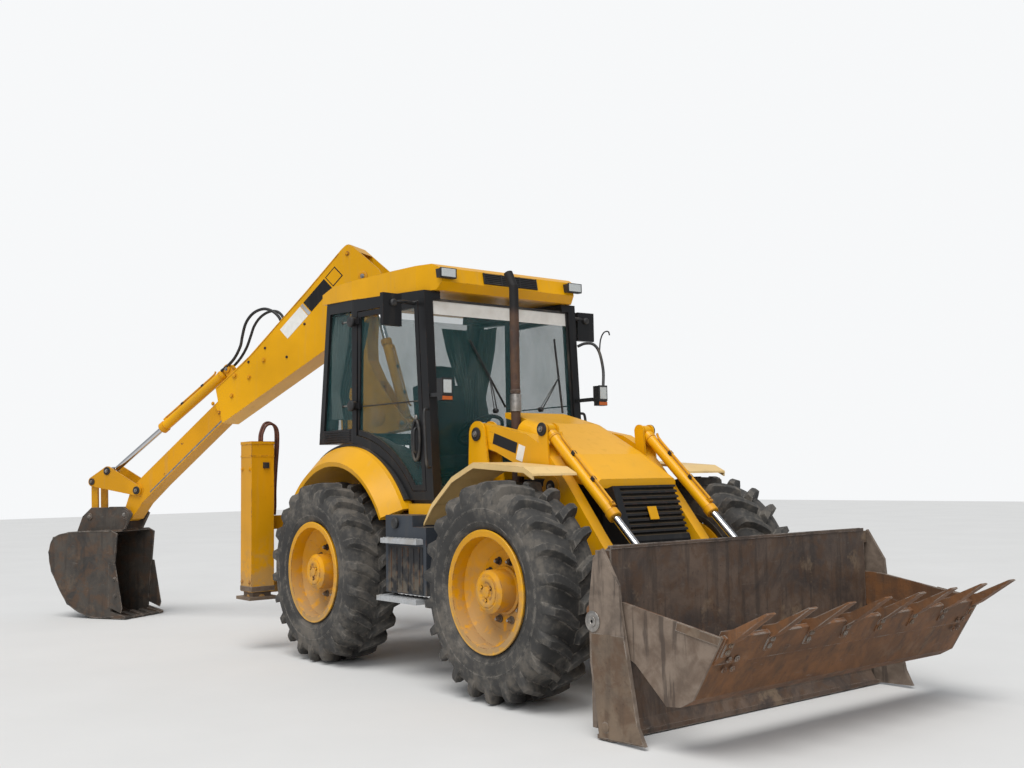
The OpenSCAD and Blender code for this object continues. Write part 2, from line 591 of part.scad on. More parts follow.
back_half = bucket_half - plate - 45;
module loader_bucket() color("#5b4a38") place() {
    slab(0, 2 * back_half) polygon([[3380, 1020], [3402, 1020], [3402, 230], [3420, 90], [3450, 36],
        [3450, 8], [3350, 8], [3335, 60], [3335, 250], [3380, 420]]);
    // Cutting edge, as wide as the bucket
    slab(0, 2 * bucket_half) polygon([[3335, 8], [3450, 8], [3450, 30], [3335, 30]]);
    both() {
        slab(bucket_half - plate / 2, plate) polygon([[3290, 720], [3330, 960], [3400, 1010], [3520, 820],
            [3530, 700], [3640, 110], [3690, 20], [3350, 8], [3290, 400]]);
        // Inner end plate, which the clam's shaft passes through
        difference() {
            slab(back_half - plate / 2, plate) polygon([[3250, 720], [3330, 980], [3390, 1020], [3390, 20],
                [3345, 8], [3290, 400], [3250, 540]]);
            bar(clam_pin, clam_shaft_r + fit, back_half - 40, back_half + 10);
        }
        // Webs that tie the outer plate to the back
        box(3300, 3335, back_half - 1, bucket_half - 1, 60, 400);
        box(3350, 3395, back_half - 1, bucket_half - 1, 925, 1000);
        bar(clam_pin, pin_r, back_half - 30, bucket_half + 10);
        // Ears for the arm and the tilt ram
        for (y = [arm_y - arm_w / 2 - 14, arm_y + arm_w / 2 + 14]) slab(y, 18)
            polygon([[3381, 820], [3160, 770], [3120, 680], [3140, 380], [3200, 300], [3336, 250], [3381, 420]]);
        bar(bucket_pin, pin_r, arm_y - arm_w / 2 - 20, arm_y + arm_w / 2 + 20);
        // Ears for the clam's ram
        for (y = [clam_ram_y - 30, clam_ram_y + 30]) slab(y, 12)
            polygon([[3336, 150], [3230, 180], [3230, 245], [3336, 245]]);
        bar(clam_ram_base, min(pin_r, clam_ram_r - 8), clam_ram_y - 34, clam_ram_y + 34);
    }
}

clam_shaft_r = 46;
clam_y = bucket_half - plate - 28;
module clam() color("#8a5a34") place() {
    slab(0, 2 * clam_y) polygon([[4190, 612], [3990, 292], [3905, 246], [3812, 236], [3800, 252],
        [3898, 266], [3975, 306], [4172, 622]]);
    both() difference() {
        slab(clam_y, plate) polygon([[3270, 700], [3330, 740], [3520, 730], [4190, 612], [3990, 292],
            [3905, 246], [3812, 236], [3600, 420], [3340, 550], [3270, 590]]);
        bar(clam_pin, pin_r + fit, clam_y - 30, clam_y + 30);
    }
    // Shaft through the inner end plate, with the lever that the ram pushes
    both() {
        difference() {
            bar(clam_pin, clam_shaft_r, clam_ram_y - 42, clam_y - plate / 2);
            bar(clam_pin, pin_r + fit, back_half - 40, clam_y + 30);
        }
        for (y = [clam_ram_y - 34, clam_ram_y + 34]) slab(y, 14) hull() {
            translate(clam_pin) circle(r = clam_shaft_r, $fn = 32);
            translate(clam_ram_eye) circle(r = 36, $fn = 32);
        }
    }
    for (i = [0 : clam_teeth - 1]) {
        y = (i - (clam_teeth - 1) / 2) * (2 * clam_y - 120) / (clam_teeth - 1);
        slab(y, 62) polygon([[4120, 590], [4150, 560], [4230, 600], [4440, 742], [4430, 748], [4225, 655], [4150, 640]]);
    }
}
module clam_barrels() color("#e3a519") place() both()
    ram_barrel(clam_ram_base, clam_ram_eye, clam_ram_y, clam_ram_r, 300, 18, 44);
module clam_rods() color("#c9ced2") place() both()
    ram_rod(clam_ram_base, clam_ram_eye, clam_ram_y, 278, 18, 32, 40);

// Backhoe
lug_z = [520, 860];
lug_h = 100;
module carriage() color("#d99a12") place() translate([0, shift, 0]) {
    difference() {
        union() {
            box(-1165, -1120 - fit, -300, 300, 420, 1130);
            for (z = lug_z) {
                box(-1300, -1160, -130, 130, z, z + lug_h);
                translate([kingpost_x, 0, z]) cylinder(r = 105, h = lug_h);
                box(kingpost_x, -1250, -105, 105, z, z + lug_h);
            }
        }
        translate([kingpost_x, 0, 400]) cylinder(r = 40 + fit, h = 700);
    }
}
module kingpost() color("#d99a12") arm_plane() {
    translate([0, 0, lug_z[0] - 40]) cylinder(r = 40, h = lug_z[1] + lug_h + 10 - lug_z[0] + 40);
    translate([0, 0, lug_z[0] + lug_h + fit]) cylinder(r = 100, h = lug_z[1] - lug_z[0] - lug_h - 2 * fit);
    // Clevis plates that carry the boom's foot and the boom ram, notched round the upper lug
    for (w = [-1, 1])
        slab(w * (boom_half + 20), 24) polygon([[-60, 640], [300, 640], [400, 700], [400, 800], [340, 970],
            [200, 1110], [60, 1125], [-20, 1090], [-20, 1010], [20, 985], [195, 980], [195, 840], [-60, 840]]);
    box(-60, 60, -boom_half - 10, boom_half + 10, 640, 720);
    bar(boom_foot, pin_r + 10, -boom_half - 32, boom_half + 32);
    bar(boom_ram_base, pin_r, -boom_half - 32, boom_half + 32);
}

boom_line = concat(arc(boom_foot, 105, 200, 350, 8), [[430, 1000], [440, 1500], [425, 1880], [470, 2500],
    [485, 2800], [430, 2930]], arc(boom_head, 92, 40, 190, 8), [[135, 2750], [130, 2560], [30, 2350],
    [30, 1900], [110, 1500], [170, 1000]]);
module boom() color("#e3a519") arm_plane() {
    difference() {
        union() {
            slab(0, 2 * boom_half) polygon(boom_line);
            // Ears for the two rams on the cab side
            for (w = [-1, 1]) slab(w * (boom_half - 14), 28) polygon([[60, 1700], [-60, 1840], [-240, 1868],
                [-300, 1930], [-240, 1990], [-130, 2120], [60, 2400]]);
        }
        bar(boom_foot, pin_r + 10 + fit, -200, 200);
        bar(boom_head, pin_r + 8 + fit, -200, 200);
        slab(0, 110) polygon([[0, 2700], [150, 2760], [166, 2900], [166, 3200], [0, 3200]]);
        // Channel down the cab side, which the boom ram's eye works in
        slab(0, 114) polygon([[-10, 860], [215, 860], [195, 1000], [190, 1500], [225, 1800], [225, 2200],
            [-10, 2330]]);
    }
    bar(dipper_ram_base, pin_r, -boom_half, boom_half);
}
module boom_ram_barrel() color("#e3a519") arm_plane()
    ram_barrel(boom_ram_base, boom_ram_eye, 0, 46, 830, 30, 80);
module boom_ram_rod() color("#c9ced2") arm_plane()
    ram_rod(boom_ram_base, boom_ram_eye, 0, 800, 30, 42, 76);
module dipper_ram_barrel() color("#e3a519") arm_plane()
    ram_barrel(dipper_ram_base, uv(tail_pin), 0, 46, 860, 28, 80);
module dipper_ram_rod() color("#c9ced2") arm_plane()
    ram_rod(dipper_ram_base, uv(tail_pin), 0, 850, 28, 44, 76);

dipper_wall = 20;
module dipper() color("#e3a519") arm_plane() {
    dipper_axes() difference() {
        slab(0, 2 * dipper_half) polygon(concat([[1879, 190], [1718, 523], [1204, 512], [300, 575], [-250, 625]],
            arc([-300, 560], 65, 90, 180, 4), [[-430, 200]], arc([-360, 165], 70, 180, 250, 4), arc([0, 0], 110, 200, 290, 6)));
        slab(0, 2 * (dipper_half - dipper_wall)) polygon([[2000, 206], [610, 75], [330, -205], [-600, -200],
            [-600, 120], [-360, 500], [-250, 560], [300, 540], [1204, 488], [1718, 500], [1900, 500]]);
        slab(0, 90) polygon([[300, 400], [2000, 400], [2000, 700], [300, 700]]);
    }
    // Wear pads at the outer's mouth
    dipper_axes() for (w = [0, 1]) mirror([0, w, 0])
        box(1760, 1850, inner_half + fit, dipper_half - dipper_wall + 1, 235, 405);
    bar(boom_head, pin_r + 8, -dipper_half - 10, dipper_half + 10);
}

module dipper_inner() color("#6f5f45") arm_plane() dipper_axes() {
    difference() {
        slab(0, 2 * inner_half) polygon([[1330, 216], [1330, 425], [3050, 425], [3200, 420], [3470, 260],
            [3470, 190], [3399, 160], [3200, 205], [2900, 216]]);
        bar(nose_pin, pin_r + fit, -200, 200);
        bar(rocker_pin, pin_r + fit, -200, 200);
    }
    // Wear pads that guide it in the outer dipper
    box(1340, 1500, fit + dipper_wall - dipper_half, dipper_half - dipper_wall - fit, 235, 405);
    // Bracket that carries the bucket ram through the outer's slot
    slab(0, 80) polygon([[1440, 420], [1490, 560], [1590, 560], [1700, 420]]);
    for (w = [-1, 1]) slab(w * 36, 8) rounded([[1538, 640], [1538, 585]], 50);
    bar(bucket_ram_base, pin_r, -40, 40);
}
module bucket_ram_barrel() color("#e3a519") arm_plane() dipper_axes()
    ram_barrel(bucket_ram_base, rocker_ram_pin, 0, 52, 1030, 28, 60);
module bucket_ram_rod() color("#c9ced2") arm_plane() dipper_axes()
    ram_rod(bucket_ram_base, rocker_ram_pin, 0, 1110, 28, 44, 60);
rocker_t = 20;
module rocker() color("#8a6a2a") arm_plane() dipper_axes() {
    for (w = [-1, 1]) difference() {
        slab(w * (inner_half + 6 + rocker_t / 2), rocker_t) hull() {
            translate(rocker_pin) circle(r = 55, $fn = 32);
            translate(rocker_ram_pin) circle(r = 50, $fn = 32);
            translate(rocker_link_pin) circle(r = 50, $fn = 32);
        }
        bar(rocker_link_pin, pin_r + fit, -200, 200);
    }
    for (w = [0, 1]) mirror([0, w, 0]) bar(rocker_pin, pin_r, 40, inner_half + 6 + rocker_t);
}
module tipping_link() color("#8a6a2a") arm_plane() dipper_axes() {
    for (w = [-70, 70]) slab(w, 22) rounded([rocker_link_pin, hitch_link_pin], 42);
    bar(rocker_link_pin, pin_r, -inner_half - 26, inner_half + 26);
}
module hoe_bucket() color("#6a5138") arm_plane() dipper_axes() {
    // Hitch
    for (w = [-1, 1])
        slab(w * (inner_half + 45), 28) polygon([[3330, 180], [3360, 290], [3700, 560], [3850, 560], [4000, 480],
            [3900, 300], [3500, 110]]);
    bar(nose_pin, pin_r, -inner_half - 59, inner_half + 59);
    for (w = [0, 1]) mirror([0, w, 0]) bar(nose_pin, 50, inner_half + 3, inner_half + 32);
    slab(0, 2 * inner_half + 4) polygon([[3850, 440], [3880, 500], [3990, 470], [3900, 330]]);
    // Shell
    difference() {
        slab(0, 2 * hoe_half) polygon([[3500, 60], [3540, 140], [3990, 470], [4184, 555], [4330, 470], [4424, 286],
            [4463, -117], [4300, -420], [3950, -690], [3930, -678], [4050, -520]]);
        slab(0, 2 * hoe_half - 40) polygon([[3300, 0], [3560, 120], [4000, 446], [4184, 530], [4312, 455], [4402, 280],
            [4440, -112], [4285, -405], [3960, -664], [3800, -800], [3400, -300]]);
    }
    for (i = [0 : hoe_teeth - 1])
        slab((i - (hoe_teeth - 1) / 2) * (2 * hoe_half - 70) / (hoe_teeth - 1), 60)
            polygon([[4075, -585], [3945, -700], [3930, -686], [4040, -550]]);
}

module leg_right() leg(-1);
module leg_left() leg(1);

chassis_frame();
rear_frame();
drivetrain();
axles();
loader_towers();
grille();
exhaust();
front_fenders();
rear_fenders();
step_boxes();
cab_frame();
cab_roof();
cab_glass();
cab_floor();
seat();
controls();
lamps();
bonnet();
door_right();
door_right_glass();
door_left();
door_left_glass();
knuckle_fr();
knuckle_fl();
knuckle_rr();
knuckle_rl();
tyre_fr();
tyre_fl();
tyre_rr();
tyre_rl();
rim_fr();
rim_fl();
rim_rr();
rim_rl();
loader_arms();
lift_barrels();
lift_rods();
tilt_barrels();
tilt_rods();
loader_bucket();
clam();
clam_barrels();
clam_rods();
carriage();
kingpost();
boom();
boom_ram_barrel();
boom_ram_rod();
dipper();
dipper_ram_barrel();
dipper_ram_rod();
dipper_inner();
bucket_ram_barrel();
bucket_ram_rod();
rocker();
tipping_link();
hoe_bucket();
leg_right();
leg_left();
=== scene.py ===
import math

import bmesh
import bpy
from mathutils import Matrix, Vector, noise


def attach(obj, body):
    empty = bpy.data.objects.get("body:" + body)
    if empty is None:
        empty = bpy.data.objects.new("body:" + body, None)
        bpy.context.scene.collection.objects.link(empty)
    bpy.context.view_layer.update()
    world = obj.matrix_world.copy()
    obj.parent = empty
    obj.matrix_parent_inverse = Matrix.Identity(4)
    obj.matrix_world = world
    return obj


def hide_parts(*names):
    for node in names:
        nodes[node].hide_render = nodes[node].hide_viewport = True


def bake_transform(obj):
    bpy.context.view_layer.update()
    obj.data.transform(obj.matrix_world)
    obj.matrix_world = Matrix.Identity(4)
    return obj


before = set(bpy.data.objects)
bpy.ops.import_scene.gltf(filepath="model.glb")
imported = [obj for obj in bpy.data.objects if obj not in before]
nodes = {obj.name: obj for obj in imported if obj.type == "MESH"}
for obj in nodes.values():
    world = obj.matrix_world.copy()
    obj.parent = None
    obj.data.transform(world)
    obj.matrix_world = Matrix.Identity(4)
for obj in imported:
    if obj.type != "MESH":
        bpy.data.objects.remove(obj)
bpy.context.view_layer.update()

# The source's axes start at the rear axle; the row's start under the middle of the footprint
MID_MM = (-252, -253)
# The backhoe at rest: its post, the boom's heading and head, and the dipper's slope
KINGPOST = (-1425, 450)
SWING = math.radians(210)
BOOM_HEAD = (210, 3010)
SLIDE = math.radians(-38.5)
# Side faces of the boom, the dipper, its inner part and its links, from the backhoe's plane
BOOM_SIDE, DIPPER_SIDE, INNER_SIDE, LINK_SIDE = 112, 142, 92, 118
# Middle of a tyre, from the machine's middle and from the ground
TYRE_MID, AXLE_Z = 920, 690
SIDES = (("right", -1), ("left", 1))
BEVEL_ANGLE = math.radians(40)


def row(x, y, z):
    """A point of the source, in mm, as a point of the row frame."""
    return Vector(((x - MID_MM[0]) / 1000, (y - MID_MM[1]) / 1000, z / 1000))


def arm(s, w, z):
    """A point of the backhoe's plane: s outward, w across, z up."""
    x = KINGPOST[0] + s * math.cos(SWING) - w * math.sin(SWING)
    y = KINGPOST[1] + s * math.sin(SWING) + w * math.cos(SWING)
    return row(x, y, z)


def dip(u, w, v):
    """A point of the dipper's plane: u along its slide, v square to it."""
    s = BOOM_HEAD[0] + u * math.cos(SLIDE) - v * math.sin(SLIDE)
    return arm(s, w, BOOM_HEAD[1] + u * math.sin(SLIDE) + v * math.cos(SLIDE))


# Camera, set from the photograph's lines: sizes in mm, turns in degrees
SENSOR, LENS = 36, 39.33
CAMERA_AT = (7836, -5341, 1407)
CAMERA_TURNS = (-51.50, 4.69, -0.97)
scene = bpy.context.scene
cam_data = bpy.data.cameras.new("camera")
cam = bpy.data.objects.new("camera", cam_data)
scene.collection.objects.link(cam)
cam_data.sensor_width = SENSOR
cam_data.lens = LENS
cam_data.clip_end = 200
yaw, pitch, roll = (math.radians(a) for a in CAMERA_TURNS)
ahead = Vector((math.sin(yaw) * math.cos(pitch), math.cos(yaw) * math.cos(pitch), math.sin(pitch)))
right = Vector((math.cos(yaw), -math.sin(yaw), 0))
up = right.cross(ahead)
right, up = (
    right * math.cos(roll) + up * math.sin(roll),
    up * math.cos(roll) - right * math.sin(roll),
)
look = Matrix((right, up, -ahead)).transposed().to_4x4()
cam.matrix_world = Matrix.Translation(row(*CAMERA_AT)) @ look
scene.camera = cam
scene.view_settings.view_transform = "Standard"


def smooth(pts, steps=6):
    """Points of a smooth curve through the given ones."""
    p = [Vector(v) for v in pts]
    p = [p[0] * 2 - p[1]] + p + [p[-1] * 2 - p[-2]]
    out = []
    for i in range(1, len(p) - 2):
        for k in range(steps):
            t = k / steps
            a, b, c, d = p[i - 1 : i + 3]
            out.append(0.5 * (2 * b + (c - a) * t + (2 * a - 5 * b + 4 * c - d) * t * t
                              + (3 * b - a - 3 * c + d) * t ** 3))
    return out + [p[-2]]


hoses = {}


def ring_tube(pts, r, sides):
    """Points and faces of a round tube along a line of points, with capped ends."""
    normal = None
    verts = []
    for i, p in enumerate(pts):
        t = (pts[min(i + 1, len(pts) - 1)] - pts[max(i - 1, 0)]).normalized()
        normal = t.orthogonal() if normal is None else (normal - t * normal.dot(t))
        normal.normalize()
        other = t.cross(normal)
        for k in range(sides):
            a = 2 * math.pi * k / sides
            verts.append(p + (normal * math.cos(a) + other * math.sin(a)) * r)
    faces = [
        (j * sides + k, j * sides + (k + 1) % sides, (j + 1) * sides + (k + 1) % sides,
         (j + 1) * sides + k)
        for j in range(len(pts) - 1)
        for k in range(sides)
    ]
    return verts, faces + [tuple(range(sides))[::-1],
                           tuple(range((len(pts) - 1) * sides, len(pts) * sides))]


def hose(name, body, pts, width):
    """A free hydraulic hose from fitting to fitting, as a mesh tube."""
    pts = smooth(pts, 6)
    verts, faces = ring_tube(pts, width / 2, 16)
    mesh = bpy.data.meshes.new(name)
    mesh.from_pydata(verts, [], faces)
    mesh.shade_smooth()
    obj = bpy.data.objects.new(name, mesh)
    scene.collection.objects.link(obj)
    if body:
        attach(obj, body)
    hoses[name] = obj
    return obj


# The two loops over the dipper, from its bulkhead to the foot of the bucket ram
LOOP_A = [(719, 104, 556), (714, 104, 622), (734, 102, 706), (790, 98, 790), (880, 90, 842),
          (975, 82, 856), (1075, 72, 834),
          (1179, 64, 768), (1262, 58, 708), (1386, 52, 664), (1500, 50, 656), (1600, 47, 668)]
LOOP_B = [(1080, -92, 536), (1040, -92, 548), (985, -92, 554), (920, -92, 560), (846, -92, 578),
          (784, -92, 626), (756, -90, 700), (776, -86, 776), (846, -78, 830),
          (950, -70, 850), (1060, -64, 826), (1160, -60, 768), (1262, -56, 710), (1380, -54, 672),
          (1500, -52, 660), (1600, -47, 668)]
for name, loop, width in (("dipper_hose_near", LOOP_A, 0.03), ("dipper_hose_far", LOOP_B, 0.028)):
    # The ram slides with the inner dipper, so each loop gives between the two
    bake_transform(hose(name, None, [dip(*p) for p in loop], width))
# Hoses from the rear frame up to the heads of the leg rams
for tag, side in SIDES:
    for k in (0, 1):
        x, dx = -905 - 46 * k, 14 * k
        hose(f"leg_hose_{tag}_{k + 1}", "chassis",
             [row(x, side * 1105, 1732), row(x - 2, side * 1098, 1800),
              row(x - 6, side * 1060, 1868 + dx), row(x - 12, side * 1000, 1880 + dx),
              row(x - 20, side * 950, 1830 + dx), row(x - 40, side * 935, 1700),
              row(x - 90, side * 925, 1500), row(x - 130, side * 915, 1320),
              row(x - 160, side * 900, 1190), row(-1095, side * 890, 1108)], 0.022)


# Materials
class Shader:
    """A Principled material with short helpers for its node tree."""

    def __init__(self, name):
        self.mat = bpy.data.materials.new(name)
        self.mat.use_nodes = True
        self.tree = self.mat.node_tree
        self.bsdf = self.tree.nodes["Principled BSDF"]
        self.coord = self.tree.nodes.new("ShaderNodeTexCoord").outputs["Object"]

    def put(self, socket, value):
        if isinstance(value, bpy.types.NodeSocket):
            self.tree.links.new(value, socket)
        else:
            socket.default_value = value

    def math(self, op, a, b=0.0, clamp=False):
        n = self.tree.nodes.new("ShaderNodeMath")
        n.operation = op
        n.use_clamp = clamp
        self.put(n.inputs[0], a)
        self.put(n.inputs[1], b)
        return n.outputs[0]

    def mul(self, a, b):
        return self.math("MULTIPLY", a, b)

    def add(self, a, b):
        return self.math("ADD", a, b)

    def noise(self, scale, detail=4.0, rough=0.55, stretch=None, distortion=0.0):
        coord = self.coord
        if stretch:
            m = self.tree.nodes.new("ShaderNodeMapping")
            m.inputs["Scale"].default_value = stretch
            self.put(m.inputs["Vector"], coord)
            coord = m.outputs[0]
        n = self.tree.nodes.new("ShaderNodeTexNoise")
        self.put(n.inputs["Vector"], coord)
        n.inputs["Scale"].default_value = scale
        n.inputs["Detail"].default_value = detail
        n.inputs["Roughness"].default_value = rough
        n.inputs["Distortion"].default_value = distortion
        return n.outputs["Fac"]

    def ramp(self, fac, low, high):
        """fac from low to high as 0 to 1, held outside."""
        n = self.tree.nodes.new("ShaderNodeMapRange")
        n.interpolation_type = "SMOOTHSTEP"
        self.put(n.inputs["Value"], fac)
        n.inputs["From Min"].default_value = low
        n.inputs["From Max"].default_value = high
        return n.outputs["Result"]

    def mix(self, fac, a, b):
        n = self.tree.nodes.new("ShaderNodeMix")
        n.data_type = "RGBA"
        self.put(n.inputs["Factor"], fac)
        self.put(n.inputs[6], colour(a))
        self.put(n.inputs[7], colour(b))
        return n.outputs[2]

    def axis(self, which):
        n = self.tree.nodes.new("ShaderNodeSeparateXYZ")
        self.put(n.inputs[0], self.coord)
        return n.outputs[which]

    def facing_up(self):
        geo = self.tree.nodes.new("ShaderNodeNewGeometry")
        n = self.tree.nodes.new("ShaderNodeSeparateXYZ")
        self.put(n.inputs[0], geo.outputs["Normal"])
        return n.outputs["Z"]

    def edge(self, radius=0.012):
        """1 along sharp edges, 0 on flats."""
        bevel = self.tree.nodes.new("ShaderNodeBevel")
        bevel.samples = 4
        bevel.inputs["Radius"].default_value = radius
        geo = self.tree.nodes.new("ShaderNodeNewGeometry")
        dot = self.tree.nodes.new("ShaderNodeVectorMath")
        dot.operation = "DOT_PRODUCT"
        self.put(dot.inputs[0], bevel.outputs[0])
        self.put(dot.inputs[1], geo.outputs["Normal"])
        return self.ramp(dot.outputs["Value"], 0.99, 0.86)

    def bump(self, height, strength=0.3, distance=0.004):
        n = self.tree.nodes.new("ShaderNodeBump")
        n.inputs["Strength"].default_value = strength
        n.inputs["Distance"].default_value = distance
        self.put(n.inputs["Height"], height)
        self.put(self.bsdf.inputs["Normal"], n.outputs[0])

    def finish(self, base, rough, metal=0.0):
        self.put(self.bsdf.inputs["Base Color"], colour(base))
        self.put(self.bsdf.inputs["Roughness"], rough)
        self.put(self.bsdf.inputs["Metallic"], metal)
        return self.mat


def colour(value):
    """A colour with its alpha added, or a socket as it is."""
    if isinstance(value, (tuple, list)) and len(value) == 3:
        return (*value, 1.0)
    return value


DUST = (0.27, 0.225, 0.165)
RUST = (0.17, 0.07, 0.03)


def paint(name, base, worn=0.4, dirt=0.35, mud_top=1.1, gloss=0.3):
    """Old paint: patchy, with painted light making its up-facing faces paler, dust-streaked, muddy
    low down, chipped along its edges.
    """
    s = Shader(name)
    patch = s.noise(1.3, 3)
    fine = s.noise(14, 5)
    grain = s.noise(70, 3)
    tone = s.mix(s.ramp(patch, 0.3, 0.7), [c * 0.86 for c in base],
                 [min(1, c * 1.08) for c in base])
    # Painted light: faces turned up are mixed to a paler tone, as if lit from above
    top_lit_tone = [c * 0.9 + 0.1 * t for c, t in zip(base, (0.85, 0.6, 0.3))]
    tone = s.mix(s.mul(s.ramp(s.facing_up(), 0.5, 1.0), 0.55), tone, top_lit_tone)
    streak = s.ramp(s.noise(3.0, 5, stretch=(6, 6, 0.5)), 0.52, 0.78)
    tone = s.mix(s.mul(streak, dirt * 0.5), tone, DUST)
    low = s.ramp(s.axis("Z"), mud_top, mud_top * 0.25)
    mud = s.mul(low, s.ramp(s.add(fine, s.mul(low, 0.25)), 0.5, 0.72))
    tone = s.mix(s.mul(mud, min(1.0, dirt * 1.9)), tone, DUST)
    spots = s.ramp(s.noise(26, 4, 0.7), 0.69 - 0.05 * worn, 0.73)
    tone = s.mix(s.mul(spots, 0.6 * worn), tone, RUST)
    chips = s.mul(s.edge(), s.ramp(s.add(fine, s.mul(grain, 0.4)), 0.72 - 0.12 * worn, 0.86))
    tone = s.mix(s.math("MULTIPLY", chips, worn * 1.6, clamp=True), tone, RUST)
    rough = s.add(gloss, s.mul(s.math("MAXIMUM", mud, s.mul(streak, 0.4)), 0.4))
    s.bump(s.add(s.mul(mud, 0.8), s.mul(grain, 0.12)), 0.25, 0.002)
    s.bsdf.inputs["Specular IOR Level"].default_value = 0.28
    return s.finish(tone, rough)


def bucket_steel(name, light, dark, streaks=0.6, soil=0.5, sooty=None, ends=None):
    """Bare working steel: rust, dried soil and black scratched streaks."""
    s = Shader(name)
    big = s.noise(2.1, 7, 0.68, distortion=1.1)
    mid = s.noise(9, 7, 0.6, distortion=0.4)
    fine = s.noise(48, 5, 0.6)
    down = s.noise(2.2, 6, 0.6, stretch=(7, 7, 0.7))
    tone = s.mix(s.ramp(big, 0.32, 0.66), dark, light)
    tone = s.mix(s.mul(s.ramp(mid, 0.45, 0.62), 0.6), tone, (0.11, 0.062, 0.036))
    tone = s.mix(s.mul(s.ramp(down, 0.5, 0.66), streaks), tone, (0.035, 0.03, 0.027))
    tone = s.mix(s.mul(s.ramp(s.noise(3.4, 5, 0.7), 0.57, 0.7), soil), tone, (0.26, 0.185, 0.12))
    tone = s.mix(s.mul(s.ramp(fine, 0.6, 0.72), 0.5), tone, (0.045, 0.033, 0.026))
    # Scratches of stone across the plate, rubbed bright
    rub = s.ramp(s.noise(5, 8, 0.72, stretch=(1, 1.2, 6), distortion=1.5), 0.6, 0.7)
    tone = s.mix(s.mul(rub, 0.45), tone, (0.2, 0.175, 0.155))
    tone = s.mix(s.mul(s.edge(0.01), s.ramp(mid, 0.42, 0.6)), tone, (0.3, 0.27, 0.24))
    if ends:
        # Paler, scuffed end plates beyond this distance from the middle plane
        off = s.math("ABSOLUTE", s.math("SUBTRACT", s.axis("Y"), -MID_MM[1] / 1000))
        tan = s.mix(s.ramp(mid, 0.35, 0.65), (0.13, 0.1, 0.078), (0.24, 0.19, 0.15))
        tan = s.mix(s.mul(s.ramp(down, 0.52, 0.62), 0.7), tan, (0.05, 0.04, 0.034))
        tone = s.mix(s.mul(s.ramp(off, ends - 0.004, ends), 0.85), tone, tan)
    if sooty:
        tone = s.mix(s.ramp(s.add(s.axis("Z"), s.mul(big, 0.12)), sooty, sooty + 0.1), tone,
                     (0.012, 0.011, 0.011))
    rough = s.add(0.5, s.mul(mid, 0.35))
    s.bump(s.add(s.mul(mid, 0.5), s.mul(fine, 0.5)), 0.55, 0.004)
    s.bsdf.inputs["Specular IOR Level"].default_value = 0.35
    return s.finish(tone, rough, 0.1)


def rubber(name):
    """Tyre rubber, worn grey, with dried mud caught in it."""
    s = Shader(name)
    big = s.noise(3.2, 5, 0.6)
    mid = s.noise(17, 6, 0.65)
    fine = s.noise(90, 4, 0.6)
    tone = s.mix(s.ramp(big, 0.3, 0.7), (0.028, 0.027, 0.026), (0.062, 0.059, 0.055))
    caked = s.mul(s.ramp(s.add(s.mul(big, 0.5), s.mul(mid, 0.5)), 0.46, 0.62), 0.75)
    tone = s.mix(caked, tone, (0.135, 0.118, 0.098))
    tone = s.mix(s.mul(s.edge(0.014), s.ramp(mid, 0.4, 0.6)), tone, (0.17, 0.155, 0.135))
    s.bump(s.add(s.mul(mid, 0.6), s.mul(fine, 0.4)), 0.5, 0.003)
    return s.finish(tone, s.add(0.72, s.mul(fine, 0.2)))


def plain(name, base, rough, metal=0.0, vary=0.2, bump=0.15, scale=30, dirt=0.25):
    """Plastic, cast or machined surface with a little grime."""
    s = Shader(name)
    n = s.noise(scale, 4)
    tone = s.mix(s.ramp(n, 0.3, 0.7), [c * (1 - vary) for c in base],
                 [min(1, c * (1 + vary)) for c in base])
    grime = s.ramp(s.noise(5, 6, 0.62), 0.5, 0.72)
    tone = s.mix(s.mul(grime, dirt), tone, DUST)
    s.bump(n, bump, 0.0015)
    return s.finish(tone, s.add(rough, s.mul(grime, 0.25 * dirt + 0.04)), metal)


def tinted_glass(name, base, alpha):
    """Glass with a tint and a light haze."""
    s = Shader(name)
    haze = s.ramp(s.noise(3.5, 5, 0.6, stretch=(1, 1, 0.5)), 0.45, 0.75)
    s.put(s.bsdf.inputs["Alpha"], s.add(alpha, s.mul(haze, 0.08)))
    s.bsdf.inputs["IOR"].default_value = 1.5
    s.mat.surface_render_method = "BLENDED"
    return s.finish(s.mix(s.mul(haze, 0.25), base, (0.3, 0.33, 0.31)), 0.06)


